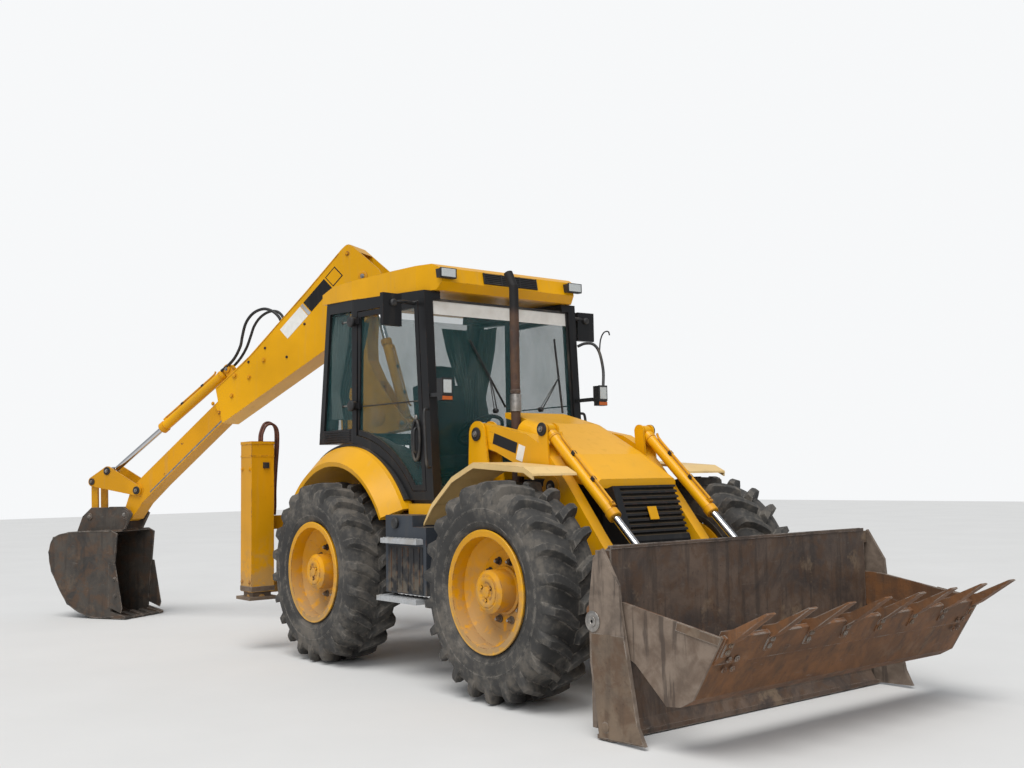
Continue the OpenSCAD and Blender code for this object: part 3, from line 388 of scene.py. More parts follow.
YELLOW = (0.74, 0.36, 0.002)
mats = {
    "yellow": paint("yellow_paint", YELLOW, 0.38, 0.24, 1.2, 0.3),
    "yellow_worn": paint("worn_yellow_paint", (0.66, 0.3, 0.003), 0.75, 0.34, 1.1, 0.4),
    "cream": paint("faded_cream_paint", (0.71, 0.5, 0.22), 0.3, 0.35, 1.0, 0.45),
    "black": paint("black_paint", (0.013, 0.013, 0.014), 0.15, 0.12, 0.8, 0.3),
    "dark": paint("dark_chassis_paint", (0.022, 0.022, 0.024), 0.5, 0.35, 1.1, 0.55),
    "axle": paint("muddy_axle_paint", (0.12, 0.085, 0.045), 0.8, 0.6, 2.0, 0.6),
    "box": paint("blue_grey_paint", (0.04, 0.047, 0.058), 0.35, 0.22, 1.0, 0.45),
    "bucket": bucket_steel("bucket_steel", (0.15, 0.105, 0.078), (0.056, 0.044, 0.039), 0.5, 0.6,
                           ends=1.19),
    "hoe": bucket_steel("digging_bucket_steel", (0.085, 0.072, 0.06), (0.036, 0.033, 0.031), 0.5,
                        0.18),
    "clam": bucket_steel("clam_steel", (0.2, 0.088, 0.034), (0.105, 0.05, 0.024), 0.35, 0.25,
                         ends=1.17),
    "wear": bucket_steel("worn_edge_steel", (0.2, 0.145, 0.1), (0.12, 0.088, 0.064), 0.25, 0.3),
    "rubber": rubber("tyre_rubber"),
    "chrome": plain("chromed_rod", (0.62, 0.62, 0.63), 0.14, 1.0, 0.04, 0.03, 60, 0.12),
    "pipe": bucket_steel("rusty_pipe", (0.11, 0.055, 0.035), (0.052, 0.034, 0.028), 0.3, 0.1,
                         sooty=2.6),
    "plastic": plain("black_plastic", (0.018, 0.018, 0.019), 0.5),
    "hose": plain("hose_rubber", (0.013, 0.013, 0.014), 0.5, 0, 0.15, 0.05, 20, 0.06),
    "brown_hose": plain("brown_hose", (0.1, 0.032, 0.018), 0.6, 0, 0.25, 0.05, 20, 0.2),
    "curtain": plain("curtain_cloth", (0.17, 0.2, 0.19), 0.9, 0, 0.2, 0.3, 200, 0.1),
    "steel": plain("machined_steel", (0.33, 0.31, 0.29), 0.38, 0.9, 0.25, 0.25, 40, 0.4),
    "step": plain("step_paint", (0.4, 0.41, 0.42), 0.55, 0, 0.12, 0.2, 40, 0.6),
    "white": plain("white_plate", (0.78, 0.77, 0.73), 0.42, 0, 0.05, 0.04, 20, 0.3),
    "lens": plain("lamp_lens", (0.52, 0.55, 0.55), 0.08, 0, 0.06, 0.25, 90, 0.08),
    "amber": plain("amber_lens", (0.5, 0.11, 0.015), 0.16, 0, 0.06, 0.15, 90, 0.08),
    "red": plain("red_lens", (0.5, 0.016, 0.012), 0.16, 0, 0.06, 0.15, 90, 0.08),
    "mirror": plain("mirror_face", (0.7, 0.72, 0.73), 0.05, 1.0, 0.02, 0.0, 20, 0.05),
    "cloth": plain("seat_cloth", (0.03, 0.03, 0.034), 0.9, 0, 0.5, 0.6, 420, 0.2),
    "bellows": plain("seat_bellows", (0.16, 0.045, 0.03), 0.7),
    "glass": tinted_glass("tinted_glass", (0.02, 0.078, 0.08), 0.28),
}

# Finish of the CAD nodes
DRESS = {
    "black": "grille cab_frame door_right door_left",
    "dark": "chassis_frame drivetrain",
    "box": "step_boxes",
    "plastic": "cab_floor controls lamps",
    "cream": "front_fenders",
    "wear": "leg_right leg_left",
    "axle": "axles knuckle_fr knuckle_fl knuckle_rr knuckle_rl",
    "glass": "cab_glass door_right_glass door_left_glass",
    "pipe": "exhaust",
    "cloth": "seat",
    "chrome": "lift_rods tilt_rods clam_rods boom_ram_rod dipper_ram_rod bucket_ram_rod",
    "bucket": "loader_bucket",
    "hoe": "hoe_bucket",
    "clam": "clam",
    "rubber": "tyre_fr tyre_fl tyre_rr tyre_rl",
    "yellow_worn": "rear_frame carriage kingpost rocker tipping_link dipper_inner rim_fr rim_fl rim_rr rim_rl clam_barrels",
}
for name, node in nodes.items():
    key = next((k for k, names in DRESS.items() if name in names.split()), "yellow")
    node.data.materials.clear()
    node.data.materials.append(mats[key])
    node.data.set_sharp_from_angle(angle=math.radians(32))
    if not any(w in name for w in ("glass", "tyre")):
        bevel = node.modifiers.new("edges", "BEVEL")
        bevel.width = 0.003
        bevel.segments = 2
        bevel.limit_method = "ANGLE"
        bevel.angle_limit = BEVEL_ANGLE
        bevel.use_clamp_overlap = True

# Light and floor
world = bpy.data.worlds.new("world")
scene.world = world
world.use_nodes = True
wt = world.node_tree
background = wt.nodes["Background"]
background.inputs["Color"].default_value = (0.86, 0.9, 0.95, 1)
background.inputs["Strength"].default_value = 0.5
pale = wt.nodes.new("ShaderNodeBackground")
pale.inputs["Color"].default_value = (0.93, 0.94, 0.95, 1)
pale.inputs["Strength"].default_value = 1.0
path = wt.nodes.new("ShaderNodeLightPath")
either = wt.nodes.new("ShaderNodeMath")
either.operation = "MAXIMUM"
wt.links.new(path.outputs["Is Camera Ray"], either.inputs[0])
wt.links.new(path.outputs["Is Transmission Ray"], either.inputs[1])
choose = wt.nodes.new("ShaderNodeMixShader")
wt.links.new(either.outputs[0], choose.inputs[0])
wt.links.new(background.outputs[0], choose.inputs[1])
wt.links.new(pale.outputs[0], choose.inputs[2])
wt.links.new(choose.outputs[0], wt.nodes["World Output"].inputs[0])


def lamp(name, kind, place, aim, energy, size, tint=(1, 1, 1)):
    """A light turned from place to aim; a sun's size is an angle."""
    data = bpy.data.lights.new(name, kind)
    data.energy = energy
    data.color = tint
    if kind == "SUN":
        data.angle = size
    else:
        data.shape = "DISK"
        data.size = size
    obj = bpy.data.objects.new(name, data)
    scene.collection.objects.link(obj)
    obj.location = place
    obj.rotation_euler = (Vector(aim) - Vector(place)).to_track_quat("-Z", "Y").to_euler()


lamp("sky", "SUN", (2, -4, 10), (0, 0, 0), 2.3, math.radians(40), (1, 0.98, 0.95))
lamp("front", "AREA", (16, -15, 11), (1, 0, 1.2), 1300, 12)

floor_mesh = bpy.data.meshes.new("floor")
floor_mesh.from_pydata([(-40, -40, 0), (40, -40, 0), (40, 40, 0), (-40, 40, 0)], [], [(0, 1, 2, 3)])
floor = bpy.data.objects.new("floor", floor_mesh)
scene.collection.objects.link(floor)
ground = Shader("floor")
speck = ground.noise(0.7, 6, 0.6)
floor_mesh.materials.append(ground.finish(ground.mix(speck, (0.6, 0.6, 0.595),
                                                     (0.68, 0.68, 0.675)), 0.85))


class Piece:
    """Collects simple solids, each with its material, into one mesh on one body."""

    def __init__(self, name, body, slot=None):
        self.name, self.body, self.slot = name, body, slot
        self.bm = bmesh.new()
        self.keys = []

    def index(self, key):
        if key not in self.keys:
            self.keys.append(key)
        return self.keys.index(key)

    def add(self, verts, faces, key):
        i = self.index(key)
        made = [self.bm.verts.new(v) for v in verts]
        for f in faces:
            face = self.bm.faces.new([made[k] for k in f])
            face.material_index = i

    def prism(self, pts, along, key):
        """A polygon of points, given thickness by the vector along."""
        n = len(pts)
        faces = [tuple(range(n))[::-1], tuple(range(n, 2 * n))]
        faces += [(i, (i + 1) % n, n + (i + 1) % n, n + i) for i in range(n)]
        self.add([Vector(p) for p in pts] + [Vector(p) + Vector(along) for p in pts], faces, key)

    def block(self, centre, size, key, axes=None):
        c = Vector(centre)
        a, b, d = [Vector(v) * (s / 2) for v,
                   s in zip(axes or ((1, 0, 0), (0, 1, 0), (0, 0, 1)), size)]
        self.prism([c - a - b - d, c + a - b - d, c + a + b - d, c - a + b - d], d * 2, key)

    def corners(self, p, q, key):
        """A box between two opposite corners."""
        p, q = Vector(p), Vector(q)
        self.block((p + q) / 2, [abs(v) for v in q - p], key)

    def lathe(self, origin, axis, profile, key, sides=32, closed=False):
        """A profile of (distance along axis, radius) turned about it."""
        axis = Vector(axis).normalized()
        side = axis.orthogonal().normalized()
        other = axis.cross(side)
        verts = []
        for h, r in profile:
            for i in range(sides):
                a = 2 * math.pi * i / sides
                verts.append(Vector(origin) + axis * h
                             + (side * math.cos(a) + other * math.sin(a)) * r)
        n = len(profile)
        faces = [
            (j * sides + i, j * sides + (i + 1) % sides, (j + 1) % n * sides + (i + 1) % sides,
             (j + 1) % n * sides + i)
            for j in range(n if closed else n - 1)
            for i in range(sides)
        ]
        if not closed:
            faces += [tuple(range(sides))[::-1], tuple(range((n - 1) * sides, n * sides))]
        self.add(verts, faces, key)

    def rod(self, p, q, r, key, sides=20):
        p, q = Vector(p), Vector(q)
        self.lathe(p, q - p, [(0, r), ((q - p).length, r)], key, sides)

    def tube(self, pts, r, key, sides=10):
        """A round tube along smoothed points."""
        verts, faces = ring_tube(smooth(pts), r, sides)
        self.add(verts, faces, key)

    def bolt(self, p, out, r=0.012, h=0.01, key="steel"):
        """A hexagon head on a washer."""
        out = Vector(out).normalized()
        self.lathe(p, out, [(0, r * 1.6), (0.003, r * 1.6)], key, 16)
        self.lathe(Vector(p) + out * 0.003, out, [(0, r), (h, r), (h + 0.0015, r * 0.85)], key, 6)

    def pin_cap(self, p, out, r, key="dark"):
        """The end of a pin: a stepped disc with its bolt."""
        self.lathe(p, out, [(0, r), (0.008, r), (0.011, r * 0.9), (0.011, r * 0.55),
                            (0.016, r * 0.5)], key, 28)
        self.bolt(Vector(p) + Vector(out).normalized() * 0.016, out, r * 0.28, 0.009)

    def done(self, bevel=0.0015, angle=35):
        bmesh.ops.recalc_face_normals(self.bm, faces=self.bm.faces)
        mesh = bpy.data.meshes.new(self.name)
        self.bm.to_mesh(mesh)
        self.bm.free()
        for key in self.keys:
            mesh.materials.append(mats[key])
        mesh.shade_smooth()
        mesh.set_sharp_from_angle(angle=math.radians(angle))
        obj = bpy.data.objects.new(self.name, mesh)
        scene.collection.objects.link(obj)
        if bevel:
            m = obj.modifiers.new("edges", "BEVEL")
            m.width = bevel
            m.segments = 2
            m.limit_method = "ANGLE"
            m.angle_limit = BEVEL_ANGLE
        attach(obj, self.body)
        return obj


# Wheels
WHEELS = {"fr": (2220, -1), "fl": (2220, 1), "rr": (0, -1), "rl": (0, 1)}
LUGS = 22
# Outer face of the tyre's carcass: distance from the middle plane, radius
CARCASS = [(0.0, 0.645), (0.12, 0.641), (0.175, 0.628), (0.203, 0.6), (0.216, 0.55), (0.22, 0.5),
           (0.214, 0.45),
           (0.204, 0.425), (0.2, 0.412), (0.19, 0.4), (0.183, 0.385)]
# One lug: distance from the middle plane, radius of its foot and of its top, angle in degrees it lags
LUG = [(0.012, 0.635, 0.69, 0.0), (0.05, 0.635, 0.69, -2.4), (0.1, 0.633, 0.689, -5.2),
       (0.15, 0.626, 0.686, -7.2),
       (0.195, 0.6, 0.676, -8.2), (0.214, 0.57, 0.64, -8.6), (0.217, 0.545, 0.585, -8.9)]


def add_tyre(name, x, side, body, seed):
    piece = Piece(name, body, "tyre_rubber")
    centre = row(x, side * TYRE_MID, AXLE_Z)
    profile = [(-y, r) for y, r in CARCASS[::-1]] + [(y, r) for y, r in CARCASS[1:]]
    piece.lathe(centre, (0, 1, 0), profile, "rubber", 96, True)

    def at(y, r, a):
        return centre + Vector((r * math.sin(a), y, r * math.cos(a)))

    for half in (-1, 1):
        for i in range(LUGS):
            start = 2 * math.pi * (i + (0.5 if half > 0 else 0)) / LUGS + seed
            verts = []
            for k, (y, foot, top, lag) in enumerate(LUG):
                a = start + math.radians(lag)
                wide = 0.036 if k < 4 else 0.03
                wear = 0.9 + 0.2 * noise.noise(Vector((i * 1.7, half * 3.1 + k * 0.6, seed)))
                out = min(y, 0.2165) + (0.004 if k >= 4 else 0)
                verts += [
                    at(half * (out - 0.01 * (k > 3)), foot, a - wide * 1.25 / foot),
                    at(half * (out - 0.01 * (k > 3)), foot, a + wide * 1.25 / foot),
                    at(half * out, top, a + wide * 0.78 * wear / top),
                    at(half * out, top, a - wide * 0.78 * wear / top),
                ]
            n = len(LUG)
            faces = [(0, 1, 2, 3), tuple((n - 1) * 4 + q for q in (3, 2, 1, 0))]
            for k in range(n - 1):
                faces += [(k * 4 + q, k * 4 + (q + 1) % 4, k * 4 + 4 + (q + 1) % 4, k * 4 + 4 + q)
                          for q in range(4)]
            piece.add(verts, faces, "rubber")
    # Thin ribs moulded round the side wall
    for half in (-1, 1):
        for r, y in ((0.435, 0.209), (0.515, 0.2195)):
            piece.lathe(centre, (0, half, 0),
                        [(y - 0.006, r - 0.005), (y + 0.0015, r - 0.003), (y + 0.0015, r + 0.003),
                         (y - 0.006, r + 0.006)],
                        "rubber", 72, True)
    return piece.done(0.005, 50)


for tag, (x, side) in WHEELS.items():
    tyre = add_tyre("lugged_tyre_" + tag, x, side, "wheel_" + tag,
                    {"fr": 0.1, "fl": 0.23, "rr": 0.17, "rl": 0.3}[tag])
    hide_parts("tyre_" + tag)
    hub = Piece("hub_fittings_" + tag, "wheel_" + tag, "yellow_paint")
    out = Vector((0, side, 0))
    c = row(x, side * TYRE_MID, AXLE_Z)
    face = c + out * 0.185
    hub.lathe(face, out, [(0, 0.098), (0.004, 0.098), (0.007, 0.09), (0.007, 0.07),
                          (0.003, 0.064)], "yellow_worn", 48)
    hub.lathe(face, out, [(0, 0.034), (0.008, 0.034), (0.01, 0.028), (0.01, 0.016)], "yellow_worn",
              32)
    for i in range(3):
        a = 2 * math.pi * i / 3 + 0.5
        hub.bolt(face + Vector((math.cos(a), 0, math.sin(a))) * 0.052, out, 0.009, 0.007,
                 "yellow_worn")
    for i in range(10):
        a = 2 * math.pi * i / 10
        p = c + out * 0.032 + Vector((math.cos(a), 0, math.sin(a))) * 0.19
        hub.lathe(p, out, [(0, 0.026), (0.006, 0.026), (0.01, 0.021)], "dark", 20)
        hub.lathe(p + out * 0.01, out, [(0, 0.019), (0.018, 0.019), (0.02, 0.016)], "dark", 6)
        hub.rod(p + out * 0.02, p + out * 0.042, 0.0095, "steel", 12)
    # Flange of the hub over its bolt circle, and the valve
    hub.lathe(c + out * 0.036, out, [(0, 0.152), (0.012, 0.152), (0.018, 0.142)], "yellow_worn", 48)
    hub.tube([c + Vector((0.31, side * 0.09, 0.1)), c + Vector((0.3, side * 0.125, 0.098)),
              c + Vector((0.285, side * 0.15, 0.094))], 0.005, "steel")
    # Rolled edge of the rim
    hub.lathe(c + out * 0.187, out, [(0.0, 0.376), (0.012, 0.387), (0.018, 0.383), (0.016, 0.372)],
              "yellow", 96, True)
    hub.done(0.0012)

# Loader
for tag, side in SIDES:
    out = Vector((0, side, 0))
    towers = Piece("tower_pins_" + tag, "chassis", "dark_steel")
    for p, r in (((1360, 1710), 0.05), ((1300, 960), 0.046)):
        towers.pin_cap(row(p[0], side * 525, p[1]), out, r)
    # Bolts of the tower's side plate
    towers.bolt(row(1290, side * 522, 1180), out, 0.011)
    towers.bolt(row(1480, side * 522, 1180), out, 0.011)
    towers.done()

    arms = Piece("arm_fittings_" + tag, "loader_arms", "dark_steel")
    arms.pin_cap(row(2080, side * 512, 1715), out, 0.046)
    arms.pin_cap(row(2150, side * 500, 1330), out, 0.044)
    # Boss plate round the lift ram's pin
    arms.lathe(row(2150, side * 499, 1330), out, [(0, 0.078), (0.006, 0.078), (0.008, 0.072)],
               "yellow_worn", 40)
    # Blank plates on the arm's outer face
    y = side * 500
    plate = [(1485, 1728), (1800, 1634), (1778, 1560), (1463, 1654)]
    arms.prism([row(a, y, b) for a, b in plate], out * 0.0015, "black")
    arms.prism([row(a, y, b) for a, b in ((1450, 1738), (1540, 1711), (1518, 1637), (1428, 1664))],
               out * 0.0022, "yellow")
    arms.prism([row(a, y, b) for a, b in ((1815, 1625), (1885, 1604), (1850, 1500), (1780, 1521))],
               out * 0.0018, "white")
    arms.done()

    # Tilt ram and lift ram: gland, ports and the rigid pipe along the barrel
    for name, base, eye, r, length, body in (
        ("tilt", (2080, 1715), (3185, 700), 38, 860, "tilt_barrels"),
        ("lift", (1300, 960), (2150, 1330), 42, 860, "lift_barrels"),
    ):
        ram = Piece(f"{name}_ram_fittings_{tag}", body, "yellow_paint")
        p, q = row(base[0], side * 455, base[1]), row(eye[0], side * 455, eye[1])
        d = (q - p).normalized()
        up_ = Vector((0, 1, 0)).cross(d).normalized()
        if up_.z < 0:
            up_ = -up_
        r_ = r / 1000
        end = p + d * (length / 1000)
        ram.lathe(end - d * 0.055, d,
                  [(0, r_ + 0.0005), (0.002, r_ + 0.007), (0.05, r_ + 0.007), (0.055, r_ + 0.003)],
                  "yellow_worn", 36)
        ram.lathe(p + d * 0.075, d,
                  [(0, r_ + 0.0005), (0.002, r_ + 0.004), (0.018, r_ + 0.004), (0.02, r_ + 0.001)],
                  "yellow_worn", 36)
        off = up_ * (r_ + 0.016)
        ram.tube([end - d * 0.08 + up_ * r_ * 0.8, end - d * 0.085 + off, end - d * 0.13 + off,
                  p + d * 0.35 + off, p + d * 0.16 + off,
                  p + d * 0.11 + up_ * (r_ + 0.03)], 0.009, "yellow_worn")
        for t in (0.3, 0.55):
            ram.block(p + d * t + up_ * (r_ + 0.008), (0.03, 0.026, 0.03), "dark",
                      (d, (0, 1, 0), up_))
        ram.block(end - d * 0.08 + up_ * (r_ + 0.006), (0.036, 0.03, 0.024), "yellow_worn",
                  (d, (0, 1, 0), up_))
        ram.done()

bucket = Piece("bucket_fittings", "loader_bucket", "bucket_steel")
for side in (-1, 1):
    out = Vector((0, side, 0))
    y = side * 1220
    bucket.lathe(row(3320, y, 620), out,
                 [(0, 0.056), (0.006, 0.056), (0.009, 0.05), (0.009, 0.034)], "steel", 40)
    bucket.lathe(row(3320, y + side * 9, 620), out,
                 [(0, 0.03), (0.004, 0.03), (0.005, 0.026), (0.005, 0.012), (0.001, 0.01)],
                 "steel", 32)
    bucket.lathe(row(3405, y, 75), out, [(0, 0.026), (0.008, 0.026), (0.012, 0.02)], "wear", 24)
    # Wear plate over the lower half of the end plate
    low = [(3304, 560), (3555, 560), (3640, 116), (3684, 26), (3356, 15), (3304, 400)]
    bucket.prism([row(a, y, b) for a, b in low], out * 0.004, "wear")
    bucket.pin_cap(row(3220, side * 520, 380), out, 0.04, "bucket")
# Stiffening strip along the back plate's top edge
bucket.corners(row(3374, -1150, 985), row(3380, 1150, 1022), "bucket")
bucket.corners(row(3402, -1150, 1004), row(3408, 1150, 1022), "bucket")
for y in (-800, -250, 250, 800):
    bucket.corners(row(3345, y - 8, 430), row(3379, y + 8, 980), "bucket")
bucket.done()

jaw = Piece("clam_fittings", "clam", "bucket_steel")
for side in (-1, 1):
    out = Vector((0, side, 0))
    y = side * (1220 - 20 - 28 + 10)
    jaw.prism([row(a, y, b) for a, b in ((3905, 666), (4190, 616), (4172, 574), (3892, 622))],
              out * 0.008, "wear")
    for k in range(4):
        # Bolt heads by the lip's corner
        base = row(4128 - 34 * (k // 2), side * (1070 - 60 * (k % 2)), 500 - 54 * (k // 2))
        jaw.bolt(base + Vector((0.004, 0, -0.006)), (0.85, 0, -0.52), 0.011, 0.007, "clam")
# Straps under the clam's teeth, then the lip plate along its edge
lip_d = Vector((200, 0, 320)).normalized()
face = Vector((lip_d.z, 0, -lip_d.x))
for i in range(8):
    y = (i - 3.5) * (2 * 1172 - 120) / 7
    p = row(4190, y, 612) + face * 0.002
    pts = [p + Vector((0, 0.031, 0)), p - Vector((0, 0.031, 0)),
           p - lip_d * 0.11 - Vector((0, 0.026, 0)), p - lip_d * 0.11 + Vector((0, 0.026, 0))]
    jaw.prism(pts, face * 0.012, "clam")
    for t in (0.035, 0.08):
        jaw.bolt(p - lip_d * t + face * 0.014, face, 0.01, 0.006, "wear")
jaw.prism([row(4190, -1160, 612), row(4190, 1160, 612), row(4190, 1160, 612) - lip_d * 0.16,
           row(4190, -1160, 612) - lip_d * 0.16],
          face * 0.008, "clam")
jaw.done()


# Cab
def front_at(z):
    """Where the windscreen stands, in mm forward, at height z."""
    return 1120 - 90 * (z - 1240) / 1550


cab = Piece("cab_fittings", "chassis", "black_paint")
# White sun strip at the windscreen's top
cab.prism([row(front_at(z) - 29, y, z) for y,
           z in ((-664, 2618), (664, 2618), (664, 2726), (-664, 2726))], (0.0015, 0, 0), "white")
# Seal round the windscreen
for z in (1306, 2728):
    cab.corners(row(front_at(z) - 32, -670, z - 9), row(front_at(z) - 18, 670, z + 9), "plastic")
for y in (-664, 664):
    cab.prism([row(front_at(1300) - 30, y - 8, 1300), row(front_at(1300) - 30, y + 8, 1300),
               row(front_at(2728) - 30, y + 8, 2728),
               row(front_at(2728) - 30, y - 8, 2728)], (0.012, 0, 0), "plastic")


def on_glass(p, off):
    """A point over the windscreen: p across and up in mm, off outward."""
    return row(front_at(p[1]) - 28 + off, p[0], p[1])


# Wipers: pivots, arms and blades
for pivot, blade_lo, blade_hi in (((330, 1925), (560, 1900), (515, 2500)),
                                  ((-120, 1905), (-20, 1935), (-330, 2440))):
    mid = ((blade_lo[0] + blade_hi[0]) / 2, (blade_lo[1] + blade_hi[1]) / 2)
    cab.lathe(on_glass(pivot, 0), (1, 0, 0), [(0, 0.02), (0.03, 0.018), (0.036, 0.012)], "plastic",
              20)
    cab.tube([on_glass(pivot, 30),
              on_glass(((pivot[0] + mid[0]) / 2, (pivot[1] + mid[1]) / 2), 34), on_glass(mid, 24)],
              0.005, "plastic")
    cab.tube([on_glass((pivot[0] - 25, pivot[1]), 30),
              on_glass(((pivot[0] + mid[0]) / 2 - 18, (pivot[1] + mid[1]) / 2), 34),
              on_glass(mid, 24)], 0.0035, "plastic")
    cab.rod(on_glass(blade_lo, 10), on_glass(blade_hi, 10), 0.008, "plastic", 8)
    cab.rod(on_glass(blade_lo, 18), on_glass(blade_hi, 18), 0.004, "plastic", 8)
# Vent in the visor between the lamps, with its bars
lean = Vector((-20, 0, 105)).normalized()
vent_out = Vector((lean.z, 0, -lean.x))
base = row(1128, 0, 2862)
VENT_HALF, VENT_HIGH = 262, 0.088


def vent_face(y0, y1, low, high):
    """Corners of a face on the vent: across in mm, up its lean in metres."""
    ends = ((y0, low), (y1, low), (y1, high), (y0, high))
    return [base + Vector((0, y / 1000, 0)) + lean * h for y, h in ends]


cab.prism(vent_face(-VENT_HALF, VENT_HALF, 0, VENT_HIGH), vent_out * 0.005, "black")
for k in range(6):
    h = 0.008 + k * 0.0145
    bar = [p + vent_out * 0.005 for p in vent_face(8 - VENT_HALF, VENT_HALF - 8, h, h + 0.007)]
    cab.prism(bar, vent_out * 0.006 - lean * 0.004, "plastic")
for y in (4 - VENT_HALF, -90, 90, VENT_HALF - 4):
    cab.prism(vent_face(y - 4, y + 4, 0, VENT_HIGH), vent_out * 0.012, "plastic")
for side in (-1, 1):
    out = Vector((0, side, 0))
    # Catch rods behind the hinge covers
    for z in (1980, 2650):
        cab.rod(row(120, side * 852, z), row(28, side * 850, z), 0.006, "steel", 12)
        cab.lathe(row(34, side * 850, z), (-1, 0, 0), [(0, 0.011), (0.012, 0.013), (0.018, 0.009)],
                  "plastic", 16)
        cab.lathe(row(130, side * 838, z), out,
                  [(0, 0.045), (0.012, 0.043), (0.02, 0.034), (0.023, 0.02)], "plastic", 32)
    # Headlamp: bezel, lens and the indicator below
    cab.corners(row(1326, side * 712, 1990), row(1334, side * 803, 2113), "plastic")
    cab.corners(row(1332, side * 724, 2006), row(1338, side * 791, 2097), "lens")
    for k in range(5):
        cab.corners(row(1337, side * (728 + k * 14), 2003),
                    row(1339.5, side * (731 + k * 14), 2100), "lens")
    cab.corners(row(1270, side * 714, 1952), row(1330, side * 801, 1984), "plastic")
    cab.corners(row(1282, side * 716, 1955), row(1336, side * 799, 1981), "amber")
    # Working lamp in the visor: bezel and lens
    for y0, y1, d, key in ((548, 696, 0.003, "plastic"), (560, 684, 0.006, "lens")):
        cab.corners(row(1171, side * y0, 2872 + 6 * (key == "lens")),
                    Vector(row(1172, side * y1, 2944 - 6 * (key == "lens"))) + Vector((d, 0, 0)),
                    key)
    # Lenses of the rear lamps
    cab.corners(row(-510, side * 692, 1709), row(-506, side * 768, 1742), "red")
    cab.corners(row(-510, side * 692, 1745), row(-506, side * 768, 1779), "amber")
    # Grab rail on the front post
    cab.tube([row(1098, side * 752, 1480), row(1106, side * 786, 1500),
              row(1090, side * 788, 1700), row(1078, side * 786, 1880),
              row(1064, side * 750, 1905)], 0.011, "plastic", 12)
# The left lamp's tall bracket, with its thin marker rod
cab.tube([row(1062, 742, 2452), row(1082, 800, 2476), row(1130, 850, 2468), row(1180, 868, 2400),
          row(1230, 860, 2250), row(1290, 800, 2105)], 0.012, "plastic", 12)
cab.tube([row(1182, 868, 2395), row(1186, 880, 2500), row(1200, 905, 2560), row(1215, 940, 2570),
          row(1218, 952, 2540)], 0.006, "plastic", 8)
# Sleeve and clamp at the foot of the stack
cab.lathe(row(1575, -330, 1868), (0, 0, 1), [(0, 0.041), (0.12, 0.041), (0.124, 0.036)], "steel",
          32)
cab.lathe(row(1575, -330, 2000), (0, 0, 1),
          [(0, 0.0355), (0.002, 0.038), (0.02, 0.038), (0.022, 0.0355)], "pipe", 32)
# Step treads
for side in (-1, 1):
    for x0, x1, y0, y1, z in ((878, 1342, 902, 1043, 975), (788, 1302, 862, 1023, 560)):
        cab.corners(row(x0, side * y0, z - 32), row(x1, side * y1, z + 3), "step")
        for k in range(9):
            x = x0 + 26 + k * (x1 - x0 - 52) / 8
            cab.corners(row(x - 7, side * (y0 + 12), z + 3), row(x + 7, side * (y1 - 10), z + 8),
                        "step")
    # Ribs and door lines pressed in the box's outer face
    y = side * 985
    cab.corners(row(900, y, 600), row(1340, y + side * 4, 925), "dark")
    for k in range(6):
        cab.corners(row(930 + k * 72, y + side * 4, 615), row(944 + k * 72, y + side * 8, 910),
                    "dark")
    cab.lathe(row(1000, y + side * 2, 1085), (0, side, 0),
              [(0, 0.04), (0.014, 0.04), (0.02, 0.034)], "plastic", 32)
cab.done()

for tag, side in SIDES:
    door = Piece("door_fittings_" + tag, "door_" + tag, "black_paint")
    ang = math.atan2(75, 1050)

    def skin(t, n, z, side=side, ang=ang):
        """A point on the door's skin: t along it, n outward."""
        return row(100 + (t - 100) * math.cos(ang) + n * math.sin(ang),
                   side * (810 - (t - 100) * math.sin(ang) + n * math.cos(ang)), z)

    # Divider across the glass, and the ring round the handle
    door.prism([skin(t, -12, z) for t, z in ((216, 1966), (958, 1966), (958, 1976), (216, 1976))],
               Vector((0, side * 0.006, 0)), "plastic")
    ring = [skin(930 + 46 * math.cos(a), 10, 1680 + 148 * math.sin(a))
            for a in [2 * math.pi * k / 20 for k in range(21)]]
    door.tube(ring, 0.011, "plastic", 12)
    door.tube([skin(930, 8, 1590), skin(930, 26, 1610), skin(930, 28, 1680), skin(930, 26, 1750),
               skin(930, 8, 1770)], 0.01, "plastic", 12)
    door.lathe(skin(930, 5, 1850), (0, side, 0), [(0, 0.018), (0.008, 0.018), (0.011, 0.013)],
               "steel", 24)
    # Mirror: glass on its rear face, its arm and clamp
    m = skin(880, 205, 2640)
    door.block(m + Vector((-0.003, 0, 0)), (0.004, 0.15, 0.215), "mirror")
    door.tube([skin(908, -8, 2700), skin(912, 60, 2708), skin(916, 130, 2706),
               skin(908, 175, 2700)], 0.012, "plastic", 12)
    door.lathe(skin(920, 200, 2690), (1, 0, 0), [(-0.03, 0.03), (0.012, 0.028), (0.02, 0.018)],
               "plastic", 24)
    door.done()

# Seat: pedestal, bellows and cushions stand for the CAD node
seat = Piece("seat_base", "chassis", "black_plastic")
seat.corners(row(210, -145, 1126), row(610, 145, 1180), "plastic")
for k in range(7):
    seat.lathe(row(410, 0, 1180 + k * 34), (0, 0, 1), [(0, 0.15), (0.017, 0.185), (0.034, 0.15)],
               "bellows", 4)
seat.corners(row(200, -200, 1418), row(620, 200, 1452), "plastic")
for side in (-1, 1):
    seat.corners(row(230, side * 250, 1600), row(520, side * 300, 1650), "plastic")
    seat.corners(row(220, side * 262, 1450), row(262, side * 288, 1602), "plastic")
seat_base = seat.done(0.004)


